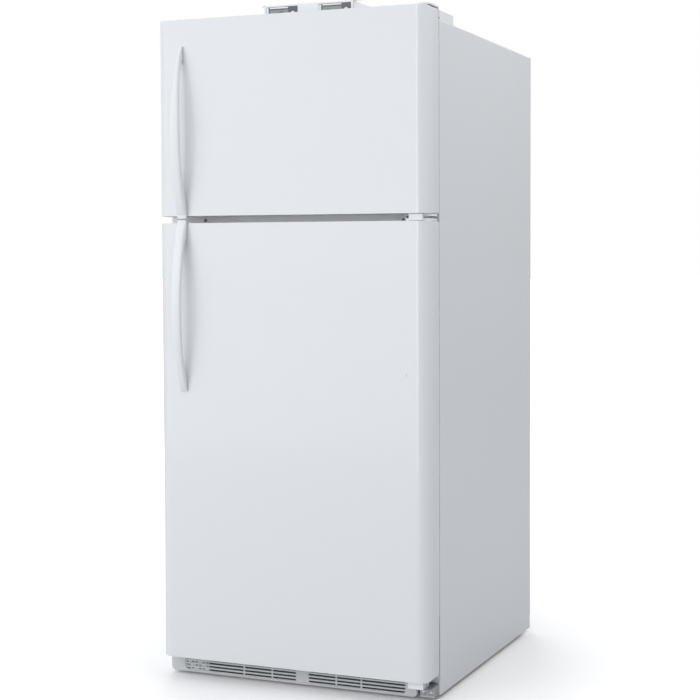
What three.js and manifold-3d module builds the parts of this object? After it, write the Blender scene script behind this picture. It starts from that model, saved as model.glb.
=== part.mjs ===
// Top freezer refrigerator: a white two-door cabinet with a freezer above a fresh-food
// compartment, bow handles on the left and hinges on the right, and a housing with two
// digital thermometers on the cabinet's top. Millimetres, +Z up, front towards -Y.
// The origin is on the floor, at the middle of the overall width and depth.
import * as THREE from "three";
import { mergeVertices } from "three/addons/utils/BufferGeometryUtils.js";
import Module from "manifold-3d";

const wasm = await Module();
wasm.setup();

// Fits
const CLEAR = 0.3; // between pieces that touch
const RUNNING = 1; // around pieces that turn or slide
const SHEET = 1; // steel sheet
const LINER = 2; // formed plastic sheet
const OVERCUT = 2; // how far a cut runs past the face it opens

// Sides of round solids
const ROUND_SIDES = 32;
const HUB_SIDES = 24;
const BORE_SIDES = 20;
const BUSH_SIDES = 16;
const HEXAGON = 6;
const ARC_SEGMENTS = 8;

// Cabinet
const CABINET_WIDTH = 752;
const CABINET_DEPTH = 690;
const CABINET_TOP = 1657;
const PANEL_BOTTOM = 10;
const CABINET_CORNER = 6;
const FRONT_FLANGE = 40; // steel return that the door gaskets close on
const BASE_TOP = 50;
const BASE_SHEET = 2;

// Doors
const DOOR_DEPTH = 62;
const DOOR_GAP = 8; // closed gasket
const DOOR_RISE = 25; // door top above the cabinet top
const DOOR_BOTTOM = 55;
const DOOR_EDGE_RADIUS = 34;
const DOOR_END_RADIUS = 12;
const DOOR_SPLIT_RADIUS = 4;
const SPLIT_BELOW_TOP = 478; // middle of the gap between the doors, below the cabinet top
const SPLIT_GAP = 18;
const DYKE_DEPTH = 40; // rim of the inner door panel that enters the compartment
const DYKE_WIDTH = 14;
const DYKE_CLEAR = 13; // lets the rim swing past the compartment wall
const GASKET_INSET = 26;
const GASKET_WIDTH = 14;
const GASKET_END_INSET = 1; // gasket to the door's end at the gap between the doors
const GASKET_OUTER_INSET = 6; // gasket to the fresh-food door's bottom
const GASKET_TOP_INSET = 48; // gasket to the freezer door's top

// Handles
const HANDLE_REACH = 42;
const HANDLE_LENGTH = 425;
const HANDLE_WIDTH = 28;
const HANDLE_BAR = 14;
const HANDLE_FOOT = 10;
const HANDLE_INSET = 78; // handle's middle line to the door's left edge
const HANDLE_END_GAP = 2;
const HANDLE_STEPS = 28;
const HANDLE_FOOT_SHARE = 0.1; // of the handle's length
const OUTER_BOW = 0.7; // the lower, the flatter the bow's middle
const INNER_BOW = 0.6;

// Hinges
const PIN_INSET = 22;
const PIN_SETBACK = 30;
const PIN_RADIUS = 4;
const PIN_REACH = 18;
const HINGE_PLATE = 3;
const HINGE_EYE = 18;

// Compartments
const FREEZER_SIDE_WALL = 55;
const FREEZER_TOP_WALL = 55;
const FREEZER_BACK_WALL = 60;
const FRIDGE_SIDE_WALL = 48;
const FRIDGE_BACK_WALL = 57;
const FRIDGE_FLOOR_WALL = 48;
const DIVIDER_HALF = 30;
const RAIL_HALF = 22;
const RAIL_DEPTH = 12;
const MACHINE_TOP = 260;
const MACHINE_DEPTH = 240;
const MACHINE_WALL = 47;

// Shelves, drawers and bins
const SHELF_SETBACK = 115;
const SHELF_HEIGHT = 16;
const SHELF_BORDER = 22;
const GLASS_THICKNESS = 4;
const GLASS_SEAT = 8;
const LEDGE = 6;
const LEDGE_UNDERLAP = 4;
const SHELF_COUNT = 3; // two shelves above the one that covers the drawers
const COVER_ABOVE_MACHINE = 5;
const DRAWER_SETBACK = 110;
const DRAWER_WALL = 2.5;
const DRAWER_LIP = 10;
const DRAWER_LIP_HEIGHT = 26;
const DRAWER_TOP_GAP = 8;
const BIN_WALL = 3;
const FREEZER_BIN_DEPTH = 82;
const FREEZER_BIN_HEIGHT = 75;
const FRIDGE_BIN_DEPTH = 95;
const FRIDGE_BIN_HEIGHTS = { lower: 120, upper: 85 };

// Places worked out from the sizes above
const HALF = CABINET_WIDTH / 2;
const OVERALL_DEPTH = HANDLE_REACH + DOOR_DEPTH + DOOR_GAP + CABINET_DEPTH;
const DOOR_FRONT = -OVERALL_DEPTH / 2 + HANDLE_REACH;
const DOOR_BACK = DOOR_FRONT + DOOR_DEPTH;
const FRONT = DOOR_BACK + DOOR_GAP;
const BACK = FRONT + CABINET_DEPTH;
const INNER_BACK = BACK - SHEET - CLEAR;
const INNER_HALF = HALF - SHEET - CLEAR;
const SPLIT = CABINET_TOP - SPLIT_BELOW_TOP;
const DOOR_TOP = CABINET_TOP + DOOR_RISE;
const PIN_X = HALF - PIN_INSET;
const PIN_Y = DOOR_FRONT + PIN_SETBACK;
const FREEZER = {
  half: HALF - FREEZER_SIDE_WALL,
  floor: SPLIT + DIVIDER_HALF,
  ceiling: CABINET_TOP - FREEZER_TOP_WALL,
  back: BACK - FREEZER_BACK_WALL,
};
const FRIDGE = {
  half: HALF - FRIDGE_SIDE_WALL,
  floor: BASE_TOP + FRIDGE_FLOOR_WALL,
  ceiling: SPLIT - DIVIDER_HALF,
  back: BACK - FRIDGE_BACK_WALL,
  stepFront: BACK - MACHINE_DEPTH - MACHINE_WALL,
  stepTop: MACHINE_TOP + MACHINE_WALL,
};
const DOORS = {
  freezer: { bottom: SPLIT + SPLIT_GAP / 2, top: DOOR_TOP, room: FREEZER },
  fridge: { bottom: DOOR_BOTTOM, top: SPLIT - SPLIT_GAP / 2, room: FRIDGE },
};
const COVER_SHELF = FRIDGE.stepTop + COVER_ABOVE_MACHINE;
const SHELF_FRONT = FRONT + SHELF_SETBACK;

// Finishes
function finish(color, roughness, metalness = 0) {
  return new THREE.MeshStandardMaterial({ color, roughness, metalness });
}
const PAINT = finish("#eef0f3", 0.35);
const WHITE_PLASTIC = finish("#eceef0", 0.42);
const LINER_PLASTIC = finish("#f3f4f4", 0.38);
const GREY_PLASTIC = finish("#c9ced3", 0.5);
const GASKET_RUBBER = finish("#e4e6e8", 0.7);
const FOAM = finish("#e8dcae", 0.9);
const ZINC = finish("#a9adb1", 0.4, 0.9);
const BLACK_STEEL = finish("#1d1e20", 0.5, 0.2);
const BLACK_PLASTIC = finish("#26282b", 0.55);
const ALUMINIUM = finish("#c4c8cb", 0.35, 0.95);
const COPPER = finish("#b06a45", 0.35, 0.95);
const GLASS = finish("#dfeeea", 0.05);
const CLEAR_PLASTIC = finish("#e6edf2", 0.15);
const DARK_RUBBER = finish("#2c2d2f", 0.8);

// A closed geometry as a solid that can be joined and cut.
function solid(geometry) {
  const bare = geometry.clone();
  bare.deleteAttribute("normal");
  bare.deleteAttribute("uv");
  const merged = mergeVertices(bare, 1e-4);
  return new wasm.Manifold(
    new wasm.Mesh({
      numProp: 3,
      vertProperties: merged.attributes.position.array,
      triVerts: new Uint32Array(merged.index.array),
    }),
  );
}

// A solid as a geometry that a mesh can show.
function geometryOf(shape) {
  const { vertProperties, triVerts } = shape.getMesh();
  const geometry = new THREE.BufferGeometry();
  geometry.setAttribute("position", new THREE.BufferAttribute(vertProperties, 3));
  geometry.setIndex(new THREE.BufferAttribute(triVerts, 1));
  geometry.computeVertexNormals();
  return geometry;
}

function piece(name, shape, material, place = [0, 0, 0]) {
  const mesh = new THREE.Mesh(geometryOf(shape), material);
  mesh.name = name;
  mesh.position.set(...place);
  return mesh;
}

function assembly(...children) {
  return new THREE.Group().add(...children);
}

const join = (...shapes) => shapes.reduce((whole, shape) => whole.add(shape));
const cut = (whole, ...shapes) => shapes.reduce((left, shape) => left.subtract(shape), whole);
const span = (half) => [-half, half];
const from = (start, length) => [start, start + length];
const around = (middle, half) => [middle - half, middle + half];

function box([x0, x1], [y0, y1], [z0, z1]) {
  const geometry = new THREE.BoxGeometry(x1 - x0, y1 - y0, z1 - z0);
  return solid(geometry.translate((x0 + x1) / 2, (y0 + y1) / 2, (z0 + z1) / 2));
}

// A round rod along x, y or z; at gives its place in the other two directions, in order.
function rod(axis, radius, [start, end], at, sides = ROUND_SIDES) {
  const geometry = new THREE.CylinderGeometry(radius, radius, end - start, sides);
  const middle = (start + end) / 2;
  if (axis === "x") geometry.rotateZ(Math.PI / 2).translate(middle, at[0], at[1]);
  if (axis === "y") geometry.translate(at[0], middle, at[1]);
  if (axis === "z") geometry.rotateX(Math.PI / 2).translate(at[0], at[1], middle);
  return solid(geometry);
}

function extrude(shape, length) {
  const options = { depth: length, bevelEnabled: false, curveSegments: ARC_SEGMENTS };
  return new THREE.ExtrudeGeometry(shape, options);
}
// Outlines in (x, y), (x, z) and (y, z).
function alongZ(shape, [start, end]) {
  return solid(extrude(shape, end - start).translate(0, 0, start));
}
function alongY(shape, [start, end]) {
  return solid(extrude(shape, end - start).rotateX(Math.PI / 2).translate(0, end, 0));
}
function alongX(shape, [start, end]) {
  const turned = extrude(shape, end - start).rotateX(Math.PI / 2).rotateZ(Math.PI / 2);
  return solid(turned.translate(start, 0, 0));
}

// A rectangle whose low (v0) and high (v1) corners have their own radii.
function panel([u0, u1], [v0, v1], lowRadius, highRadius = lowRadius) {
  const quarter = Math.PI / 2;
  return new THREE.Shape()
    .absarc(u0 + lowRadius, v0 + lowRadius, lowRadius, -2 * quarter, -quarter, false)
    .absarc(u1 - lowRadius, v0 + lowRadius, lowRadius, -quarter, 0, false)
    .absarc(u1 - highRadius, v1 - highRadius, highRadius, 0, quarter, false)
    .absarc(u0 + highRadius, v1 - highRadius, highRadius, quarter, 2 * quarter, false);
}

// ---------------------------------------------------------------- cabinet

function gate(half, bottom, top, radius) {
  return new THREE.Shape()
    .moveTo(-half, bottom)
    .lineTo(half, bottom)
    .absarc(half - radius, top - radius, radius, 0, Math.PI / 2, false)
    .absarc(-half + radius, top - radius, radius, Math.PI / 2, Math.PI, false);
}

function cabinetShell() {
  const below = PANEL_BOTTOM - OVERCUT;
  const outside = gate(HALF, PANEL_BOTTOM, CABINET_TOP, CABINET_CORNER);
  const inside = gate(HALF - SHEET, below, CABINET_TOP - SHEET, CABINET_CORNER - SHEET);
  const mouth = [below, CABINET_TOP - FRONT_FLANGE];
  return cut(
    alongY(outside, [FRONT, INNER_BACK]),
    alongY(inside, [FRONT + SHEET, BACK]),
    box(span(HALF - FRONT_FLANGE), around(FRONT, OVERCUT), mouth),
  );
}

function freezerRoom(grow, mouth) {
  const { half, floor, ceiling, back } = FREEZER;
  return box(span(half + grow), [mouth, back + grow], [floor - grow, ceiling + grow]);
}

// The fresh-food room steps up at the back over the machine compartment.
function fridgeRoom(grow, mouth) {
  const { half, floor, ceiling, back, stepFront, stepTop } = FRIDGE;
  const outline = new THREE.Shape()
    .moveTo(mouth, floor - grow)
    .lineTo(stepFront + grow, floor - grow)
    .lineTo(stepFront + grow, stepTop - grow)
    .lineTo(back + grow, stepTop - grow)
    .lineTo(back + grow, ceiling + grow)
    .lineTo(mouth, ceiling + grow);
  return alongX(outline, span(half + grow));
}

function insulationFoam() {
  const top = CABINET_TOP - SHEET - CLEAR;
  const outline = gate(INNER_HALF, BASE_TOP + CLEAR, top, CABINET_CORNER - SHEET);
  const rail = around(SPLIT, RAIL_HALF + CLEAR);
  return cut(
    alongY(outline, [FRONT + LINER + CLEAR, INNER_BACK - CLEAR]),
    freezerRoom(LINER + CLEAR, FRONT),
    fridgeRoom(LINER + CLEAR, FRONT),
    box(span(HALF), [BACK - MACHINE_DEPTH, BACK], [0, MACHINE_TOP]),
    box(span(HALF), [FRONT, FRONT + RAIL_DEPTH + CLEAR], rail),
  );
}

function linerFlange(bottom, top) {
  return box(span(HALF - FRONT_FLANGE - CLEAR), from(FRONT, LINER), [bottom, top]);
}

function ledges(half, depth, height) {
  const under = [height - LEDGE, height - CLEAR];
  const reach = LEDGE + LEDGE_UNDERLAP;
  return join(
    box([-half, -half + reach], depth, under),
    box([half - reach, half], depth, under),
  );
}

const shelfDepth = (room) => [SHELF_FRONT, room.back - LEDGE];
const FREEZER_SHELF = (FREEZER.floor + FREEZER.ceiling) / 2;
const shelfPitch = (FRIDGE.ceiling - COVER_SHELF) / SHELF_COUNT;
const SHELF_HEIGHTS = Array.from({ length: SHELF_COUNT }, (_, i) => COVER_SHELF + i * shelfPitch);

function freezerLiner() {
  const flange = linerFlange(SPLIT + RAIL_HALF + CLEAR, CABINET_TOP - FRONT_FLANGE - CLEAR);
  const shell = cut(
    join(freezerRoom(LINER, FRONT), flange),
    freezerRoom(0, FRONT - OVERCUT),
  );
  return shell.add(ledges(FREEZER.half, [SHELF_FRONT, EVAPORATOR_COVER], FREEZER_SHELF));
}

function fridgeLiner() {
  const flange = linerFlange(BASE_TOP + CLEAR, SPLIT - RAIL_HALF - CLEAR);
  const shell = cut(join(fridgeRoom(LINER, FRONT), flange), fridgeRoom(0, FRONT - OVERCUT));
  const supports = SHELF_HEIGHTS.map((height) =>
    ledges(FRIDGE.half, shelfDepth(FRIDGE), height),
  );
  return join(shell, ...supports);
}

function mullionRail() {
  const width = span(HALF - FRONT_FLANGE - CLEAR);
  return box(width, from(FRONT, RAIL_DEPTH), around(SPLIT, RAIL_HALF));
}

const REAR_COVER_GAP = 2;
const STIFFENER_HALF = 14;
function backPanel() {
  const height = [MACHINE_TOP + REAR_COVER_GAP, CABINET_TOP - CABINET_CORNER];
  const sheet = box(span(HALF), [BACK - SHEET, BACK], height);
  const stiffeners = [-1, 1].map((side) =>
    box(around((side * HALF) / 2, STIFFENER_HALF), from(BACK - SHEET - CLEAR / 2, CLEAR), [
      height[0] + STIFFENER_HALF,
      height[1] - STIFFENER_HALF,
    ]),
  );
  return join(sheet, ...stiffeners);
}

// ---------------------------------------------------------------- base

const RAIL_HEIGHT = 20;
const LEG_SETBACK = 24;
const LEG_INSET = 46;
const LEG_STUD = 5;
const LEG_FOOT = 18;
const LEG_FOOT_HEIGHT = 8;
const ROLLER_RADIUS = 18;
const ROLLER_WIDTH = 20;
const ROLLER_INSET = 22;
const ROLLER_FROM_BACK = 60;
const AXLE_RADIUS = 4;
const EAR = 3;
const EAR_REACH = 30;

function rollerMount(side) {
  const middle = side * (HALF - ROLLER_INSET);
  const y = BACK - ROLLER_FROM_BACK;
  const inner = ROLLER_WIDTH / 2 + RUNNING;
  const ears = [-1, 1].map((end) => {
    const edges = [middle + end * inner, middle + end * (inner + EAR)].sort((a, b) => a - b);
    return box(edges, around(y, EAR_REACH), [PANEL_BOTTOM, BASE_TOP - BASE_SHEET / 2]);
  });
  const axle = rod("x", AXLE_RADIUS, around(middle, inner + EAR), [y, ROLLER_RADIUS], BORE_SIDES);
  return join(...ears, axle);
}

function baseFrame() {
  const floor = box(span(INNER_HALF), [FRONT + LINER + CLEAR, INNER_BACK], [
    BASE_TOP - BASE_SHEET,
    BASE_TOP,
  ]);
  const rail = box(span(INNER_HALF), from(FRONT + LINER + CLEAR, 2 * LEG_SETBACK), [
    BASE_TOP - RAIL_HEIGHT,
    BASE_TOP,
  ]);
  const legHoles = [-1, 1].map((side) =>
    rod("z", LEG_STUD + RUNNING / 2, [0, BASE_TOP - BASE_SHEET], legPlace(side), BORE_SIDES),
  );
  return cut(join(floor, rail, rollerMount(-1), rollerMount(1)), ...legHoles);
}

function legPlace(side) {
  return [side * (HALF - LEG_INSET), FRONT + LINER + CLEAR + LEG_SETBACK];
}

function levellingLeg() {
  const foot = rod("z", LEG_FOOT, [0, LEG_FOOT_HEIGHT], [0, 0], HEXAGON);
  const height = [LEG_FOOT_HEIGHT - CLEAR, BASE_TOP - 2 * BASE_SHEET];
  const stud = rod("z", LEG_STUD, height, [0, 0], BORE_SIDES);
  return join(foot, stud);
}

function rearRoller() {
  const tyre = rod("x", ROLLER_RADIUS, span(ROLLER_WIDTH / 2), [0, 0]);
  const bore = rod("x", AXLE_RADIUS + RUNNING / 2, span(ROLLER_WIDTH), [0, 0], BORE_SIDES);
  return cut(tyre, bore);
}

// ---------------------------------------------------------------- toe grille

const GRILLE_PROUD = 25; // in front of the cabinet
const GRILLE_BOTTOM = 6;
const GRILLE_TOP_GAP = 5; // below the door
const GRILLE_WALL = 3;
const GRILLE_SIDE_GAP = 4;
const GRILLE_RADIUS = 12;
const SLOT_ROWS = 4;
const SLOT_PITCH = 8.6;
const SLOT_HEIGHT = 4.6;
const SLOT_LOW = 13;
const SLOT_END_LEFT = 45; // from the grille's left end
const SLOT_END_RIGHT = 33;
const RIB_HALF = 2;
const GRILLE_RIBS = [-157, -76, 105, 174];
const GRILLE_BLANK = [-8, 28];
const BRACKET_WIDTH = 42;
const GRILLE_LEFT = -HALF + GRILLE_SIDE_GAP;
const GRILLE_RIGHT = HALF - GRILLE_SIDE_GAP - BRACKET_WIDTH - GRILLE_SIDE_GAP;

function grilleSlots() {
  const left = GRILLE_LEFT + SLOT_END_LEFT;
  const right = GRILLE_RIGHT - SLOT_END_RIGHT;
  const ribs = GRILLE_RIBS.map((x) => around(x, RIB_HALF));
  const solids = [...ribs, GRILLE_BLANK].sort((a, b) => a[0] - b[0]);
  const starts = [left, ...solids.map((edge) => edge[1])];
  const ends = [...solids.map((edge) => edge[0]), right];
  const front = FRONT - GRILLE_PROUD;
  const rows = Array.from({ length: SLOT_ROWS }, (_, row) => SLOT_LOW + row * SLOT_PITCH);
  return rows.flatMap((low) =>
    starts.map((start, i) =>
      box([start, ends[i]], [front - OVERCUT, front + 2 * GRILLE_WALL], from(low, SLOT_HEIGHT)),
    ),
  );
}

function toeGrille() {
  const top = DOOR_BOTTOM - GRILLE_TOP_GAP;
  const width = [GRILLE_LEFT, GRILLE_RIGHT];
  const inner = [GRILLE_LEFT + GRILLE_WALL, GRILLE_RIGHT - GRILLE_WALL];
  const front = FRONT - GRILLE_PROUD;
  const outline = panel(width, [GRILLE_BOTTOM, top], GRILLE_RADIUS, GRILLE_WALL);
  const hollow = panel(
    inner,
    [GRILLE_BOTTOM + GRILLE_WALL, top - GRILLE_WALL],
    GRILLE_RADIUS - GRILLE_WALL,
    CLEAR,
  );
  return cut(
    alongY(outline, [front, FRONT - CLEAR]),
    alongY(hollow, [front + GRILLE_WALL, FRONT]),
    ...grilleSlots(),
  );
}

// ---------------------------------------------------------------- machine compartment

const COMPRESSOR = { radius: 82, height: 165, shoulder: 40, fromBack: 115, fromSide: 190 };
const COMPRESSOR_ARCS = 6;
const COMPRESSOR_FOOT = { half: 88, plate: 4, stand: 12, bush: 10 };
const CONDENSER = { passes: 7, pitch: 22, tube: 3, half: 85, lift: 30, fromSide: 150 };
const COIL_BEND = 2 / 3; // reach of a bend's handles, in pitches
const COIL_STEPS = 12; // along each pass
const COIL_SEGMENTS = 4;
const CONDENSER_FAN = { radius: 62, hub: 16, depth: 22, blades: 5, lift: 95 };
const FAN_TO_MOTOR = 3;
const BLADE_PITCH = 0.6; // radians
const BLADE_THICKNESS = 1.5;
const MOTOR_SPREAD = 1.5; // motor can's radius, in hub radii
const MACHINE_MID = BACK - MACHINE_DEPTH / 2;
const COVER_SLOTS = { rows: 3, columns: 9, width: 44, height: 7, pitchX: 64, pitchZ: 30, low: 150 };
const INLET = { radius: 13, lip: 3, bore: 4.5, depth: 12, x: -250, lift: 50 };

function compressor() {
  const { radius, height, shoulder } = COMPRESSOR;
  const { half, plate, stand, bush } = COMPRESSOR_FOOT;
  const floor = BASE_TOP + CLEAR;
  const bottom = floor + stand;
  const profile = [new THREE.Vector2(0, bottom), new THREE.Vector2(radius - shoulder / 2, bottom)];
  for (let i = 0; i <= COMPRESSOR_ARCS; i += 1) {
    const turn = (i / COMPRESSOR_ARCS) * (Math.PI / 2);
    const r = radius - shoulder + shoulder * Math.cos(turn);
    profile.push(new THREE.Vector2(r, bottom + height - shoulder + shoulder * Math.sin(turn)));
  }
  profile.push(new THREE.Vector2(0, bottom + height));
  const dome = solid(new THREE.LatheGeometry(profile, ROUND_SIDES).rotateX(Math.PI / 2));
  const base = box(span(half), span(half), from(bottom - plate / 2, plate));
  const corners = [-1, 1].flatMap((x) => [-1, 1].map((y) => [x * (half - bush), y * (half - bush)]));
  const bushes = corners.map((at) => rod("z", bush, [floor, bottom], at, BUSH_SIDES));
  return join(dome, base, ...bushes);
}

const compressorPlace = [HALF - COMPRESSOR.fromSide, BACK - COMPRESSOR.fromBack, 0];

function condenserCoil() {
  const { passes, pitch, tube, half, lift } = CONDENSER;
  const path = new THREE.CurvePath();
  const level = (i) => BASE_TOP + lift + i * pitch;
  for (let i = 0; i < passes; i += 1) {
    const side = i % 2 === 0 ? 1 : -1;
    const start = new THREE.Vector3(0, -side * half, level(i));
    const end = new THREE.Vector3(0, side * half, level(i));
    path.add(new THREE.LineCurve3(start, end));
    if (i + 1 < passes) {
      const next = new THREE.Vector3(0, side * half, level(i + 1));
      const bulge = side * (half + pitch * COIL_BEND);
      const out = new THREE.Vector3(0, bulge, level(i));
      const back = new THREE.Vector3(0, bulge, level(i + 1));
      path.add(new THREE.CubicBezierCurve3(end, out, back, next));
    }
  }
  const section = new THREE.Shape().absarc(0, 0, tube, 0, 2 * Math.PI, false);
  const steps = COIL_STEPS * passes;
  const options = {
    steps,
    curveSegments: COIL_SEGMENTS,
    extrudePath: path,
    bevelEnabled: false,
  };
  return solid(new THREE.ExtrudeGeometry(section, options));
}

// A bladed wheel about z, with its hub's front face at z = 0.
function fanWheel({ radius, hub, depth, blades }) {
  const core = rod("z", hub, [0, depth], [0, 0], HUB_SIDES);
  const length = radius - hub / 2;
  const vanes = Array.from({ length: blades }, (_, i) => {
    const vane = new THREE.BoxGeometry(length, depth, BLADE_THICKNESS).rotateX(BLADE_PITCH);
    const placed = vane.translate(length / 2 + hub / 2, 0, depth / 2);
    return solid(placed.rotateZ((i / blades) * 2 * Math.PI));
  });
  return join(core, ...vanes);
}

function condenserFanMotor() {
  const { hub, lift } = CONDENSER_FAN;
  const floor = BASE_TOP + CLEAR;
  const can = rod("x", MOTOR_SPREAD * hub, from(0, 2 * hub), [0, BASE_TOP + lift]);
  const post = box([hub / 2, hub], span(hub), [floor, BASE_TOP + lift]);
  const foot = box([0, 2 * hub], span(MOTOR_SPREAD * hub), from(floor, BASE_SHEET));
  return join(can, post, foot);
}

function machineCover() {
  const { rows, columns, width, height, pitchX, pitchZ, low } = COVER_SLOTS;
  const sheet = box(span(HALF), [BACK - SHEET, BACK], [BASE_TOP, MACHINE_TOP]);
  const slots = [];
  for (let row = 0; row < rows; row += 1) {
    for (let column = 0; column < columns; column += 1) {
      const x = (column - (columns - 1) / 2) * pitchX;
      const z = low + row * pitchZ;
      slots.push(box(around(x, width / 2), around(BACK, OVERCUT), around(z, height / 2)));
    }
  }
  const hole = rod("y", INLET.radius, around(BACK, OVERCUT), inletPlace, HUB_SIDES);
  return cut(sheet, ...slots, hole);
}

const inletPlace = [INLET.x, BASE_TOP + INLET.lift];

// The bushing that the supply lead comes through.
function powerInlet() {
  const { radius, lip, bore, depth } = INLET;
  const flangeDepth = [BACK - depth, BACK - SHEET - CLEAR];
  const flange = rod("y", radius + lip, flangeDepth, inletPlace, HUB_SIDES);
  const neck = rod("y", radius - CLEAR, [BACK - depth, BACK], inletPlace, HUB_SIDES);
  const passage = rod("y", bore, around(BACK, 2 * depth), inletPlace, BORE_SIDES);
  return cut(join(flange, neck), passage);
}

// ---------------------------------------------------------------- freezer

const EVAPORATOR_SPACE = 88;
const EVAPORATOR_COVER = FREEZER.back - EVAPORATOR_SPACE;
const COVER_SHEET = 3;
const EVAPORATOR = { half: 250, height: 150, depth: 50, lift: 40, fins: 30, fin: 3, gap: 3 };
const FREEZER_FAN = { radius: 42, hub: 13, depth: 18, blades: 5, below: 80, armReach: 4 };
const AIR_RIB = 3;
const AIR_RETURNS = { count: 9, pitch: 60, half: 22, lift: 24, height: 8 };
const FREEZER_FAN_Z = FREEZER.ceiling - FREEZER_FAN.below;

function evaporatorCover() {
  const height = [FREEZER.floor + RUNNING, FREEZER.ceiling - RUNNING];
  const sheet = box(span(FREEZER.half - RUNNING), from(EVAPORATOR_COVER, COVER_SHEET), height);
  const through = around(EVAPORATOR_COVER, 2 * COVER_SHEET);
  const opening = rod("y", FREEZER_FAN.radius + AIR_RIB, through, [0, FREEZER_FAN_Z]);
  const reach = span(2 * FREEZER_FAN.radius);
  const crossRib = box(reach, through, around(FREEZER_FAN_Z, AIR_RIB / 2));
  const uprightRib = box(
    span(AIR_RIB / 2),
    through,
    around(FREEZER_FAN_Z, 2 * FREEZER_FAN.radius),
  );
  const { count, pitch, half, lift, height: slotHeight } = AIR_RETURNS;
  const returns = Array.from({ length: count }, (_, i) => {
    const middle = (i - (count - 1) / 2) * pitch;
    return box(around(middle, half), through, from(FREEZER.floor + lift, slotHeight));
  });
  return cut(sheet, cut(opening, crossRib, uprightRib), ...returns);
}

function evaporatorCoil() {
  const { half, height, depth, lift, fins, fin, gap } = EVAPORATOR;
  const y = [FREEZER.back - depth - gap, FREEZER.back - gap];
  const z = from(FREEZER.floor + lift, height);
  const block = box(span(half), y, z);
  const pitch = (2 * half) / fins;
  const gaps = Array.from({ length: fins - 1 }, (_, i) => {
    const x = -half + (i + 1) * pitch;
    return box(around(x, (pitch - fin) / 2), [y[0] - OVERCUT, y[0] + depth / 2], [
      z[0] - OVERCUT,
      z[1] + OVERCUT,
    ]);
  });
  return cut(block, ...gaps);
}

function evaporatorFanMotor() {
  const { hub, depth, armReach } = FREEZER_FAN;
  const start = EVAPORATOR_COVER + COVER_SHEET + FAN_TO_MOTOR + depth + RUNNING;
  const reach = [start, FREEZER.back - EVAPORATOR.gap];
  const can = rod("y", MOTOR_SPREAD * hub, reach, [0, FREEZER_FAN_Z]);
  const armDepth = from(start + hub / 2, COVER_SHEET);
  const arm = box(span(armReach * hub), armDepth, around(FREEZER_FAN_Z, hub / 2));
  return join(can, arm);
}

const SHELF_SLOTS = { count: 13, openShare: 2 / 3 };
function freezerShelf() {
  const half = FREEZER.half - RUNNING;
  const depth = [SHELF_FRONT, EVAPORATOR_COVER - LEDGE];
  const plate = box(span(half), depth, from(FREEZER_SHELF, LEDGE));
  const lip = box(span(half - LEDGE - LEDGE_UNDERLAP), from(SHELF_FRONT, LEDGE), [
    FREEZER_SHELF - LEDGE,
    FREEZER_SHELF + 2 * LEDGE,
  ]);
  const { count, openShare } = SHELF_SLOTS;
  const pitch = (2 * half) / count;
  const slotDepth = [SHELF_FRONT + SHELF_BORDER, depth[1] - SHELF_BORDER];
  const openings = Array.from({ length: count }, (_, i) => {
    const width = around(-half + (i + 0.5) * pitch, (openShare * pitch) / 2);
    return box(width, slotDepth, from(FREEZER_SHELF - OVERCUT, 2 * LEDGE));
  });
  return cut(join(plate, lip), ...openings);
}

// ---------------------------------------------------------------- fresh-food room

const SHELF_HALF = FRIDGE.half - RUNNING;

function shelfGlassBox(grow) {
  const border = SHELF_BORDER - GLASS_SEAT;
  const [front, back] = shelfDepth(FRIDGE);
  const height = [SHELF_HEIGHT - GLASS_THICKNESS - grow, SHELF_HEIGHT + (grow && OVERCUT)];
  return box(
    span(SHELF_HALF - border + grow),
    [front + border - grow, back - border + grow],
    height,
  );
}

function shelfFrame() {
  const [front, back] = shelfDepth(FRIDGE);
  return cut(
    box(span(SHELF_HALF), [front, back], [0, SHELF_HEIGHT]),
    box(span(SHELF_HALF - SHELF_BORDER), [front + SHELF_BORDER, back - SHELF_BORDER], [
      -OVERCUT,
      SHELF_HEIGHT + OVERCUT,
    ]),
    shelfGlassBox(CLEAR),
  );
}

const DRAWER_GAP = 3;
const DRAWER_HALF = (FRIDGE.half - 2 * DRAWER_GAP) / 2;
const DRAWER_FLOOR = FRIDGE.floor + RUNNING;
const DRAWER_TOP = COVER_SHELF - LEDGE - DRAWER_TOP_GAP;

function crisper() {
  const front = FRONT + DRAWER_SETBACK;
  const back = FRIDGE.stepFront - LEDGE;
  const tub = cut(
    box(span(DRAWER_HALF), [front, back], [DRAWER_FLOOR, DRAWER_TOP]),
    box(
      span(DRAWER_HALF - DRAWER_WALL),
      [front + 2 * DRAWER_WALL, back - DRAWER_WALL],
      [DRAWER_FLOOR + DRAWER_WALL, DRAWER_TOP + OVERCUT],
    ),
  );
  const lip = box(
    span(DRAWER_HALF),
    [front - DRAWER_LIP, front + CLEAR],
    [DRAWER_TOP - DRAWER_LIP_HEIGHT, DRAWER_TOP],
  );
  return join(tub, lip);
}

const CONTROL = { half: 160, depth: 130, height: 42, setback: 65, wall: 3 };
const KNOB = { radius: 15, length: 13, grip: 6, places: { fridge: -70, freezer: 20 } };
const PLUNGER = { radius: 4.5, x: 130, stem: 14, toDoor: 1.5 };
const CONTROL_FRONT = FRONT + CONTROL.setback;
const CONTROL_Z = [FRIDGE.ceiling - CONTROL.height, FRIDGE.ceiling - CLEAR];
const PLUNGER_Z = FRIDGE.ceiling - DYKE_CLEAR - DYKE_WIDTH / 2;
const KNOB_Z = FRIDGE.ceiling - CONTROL.height / 2;

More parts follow.
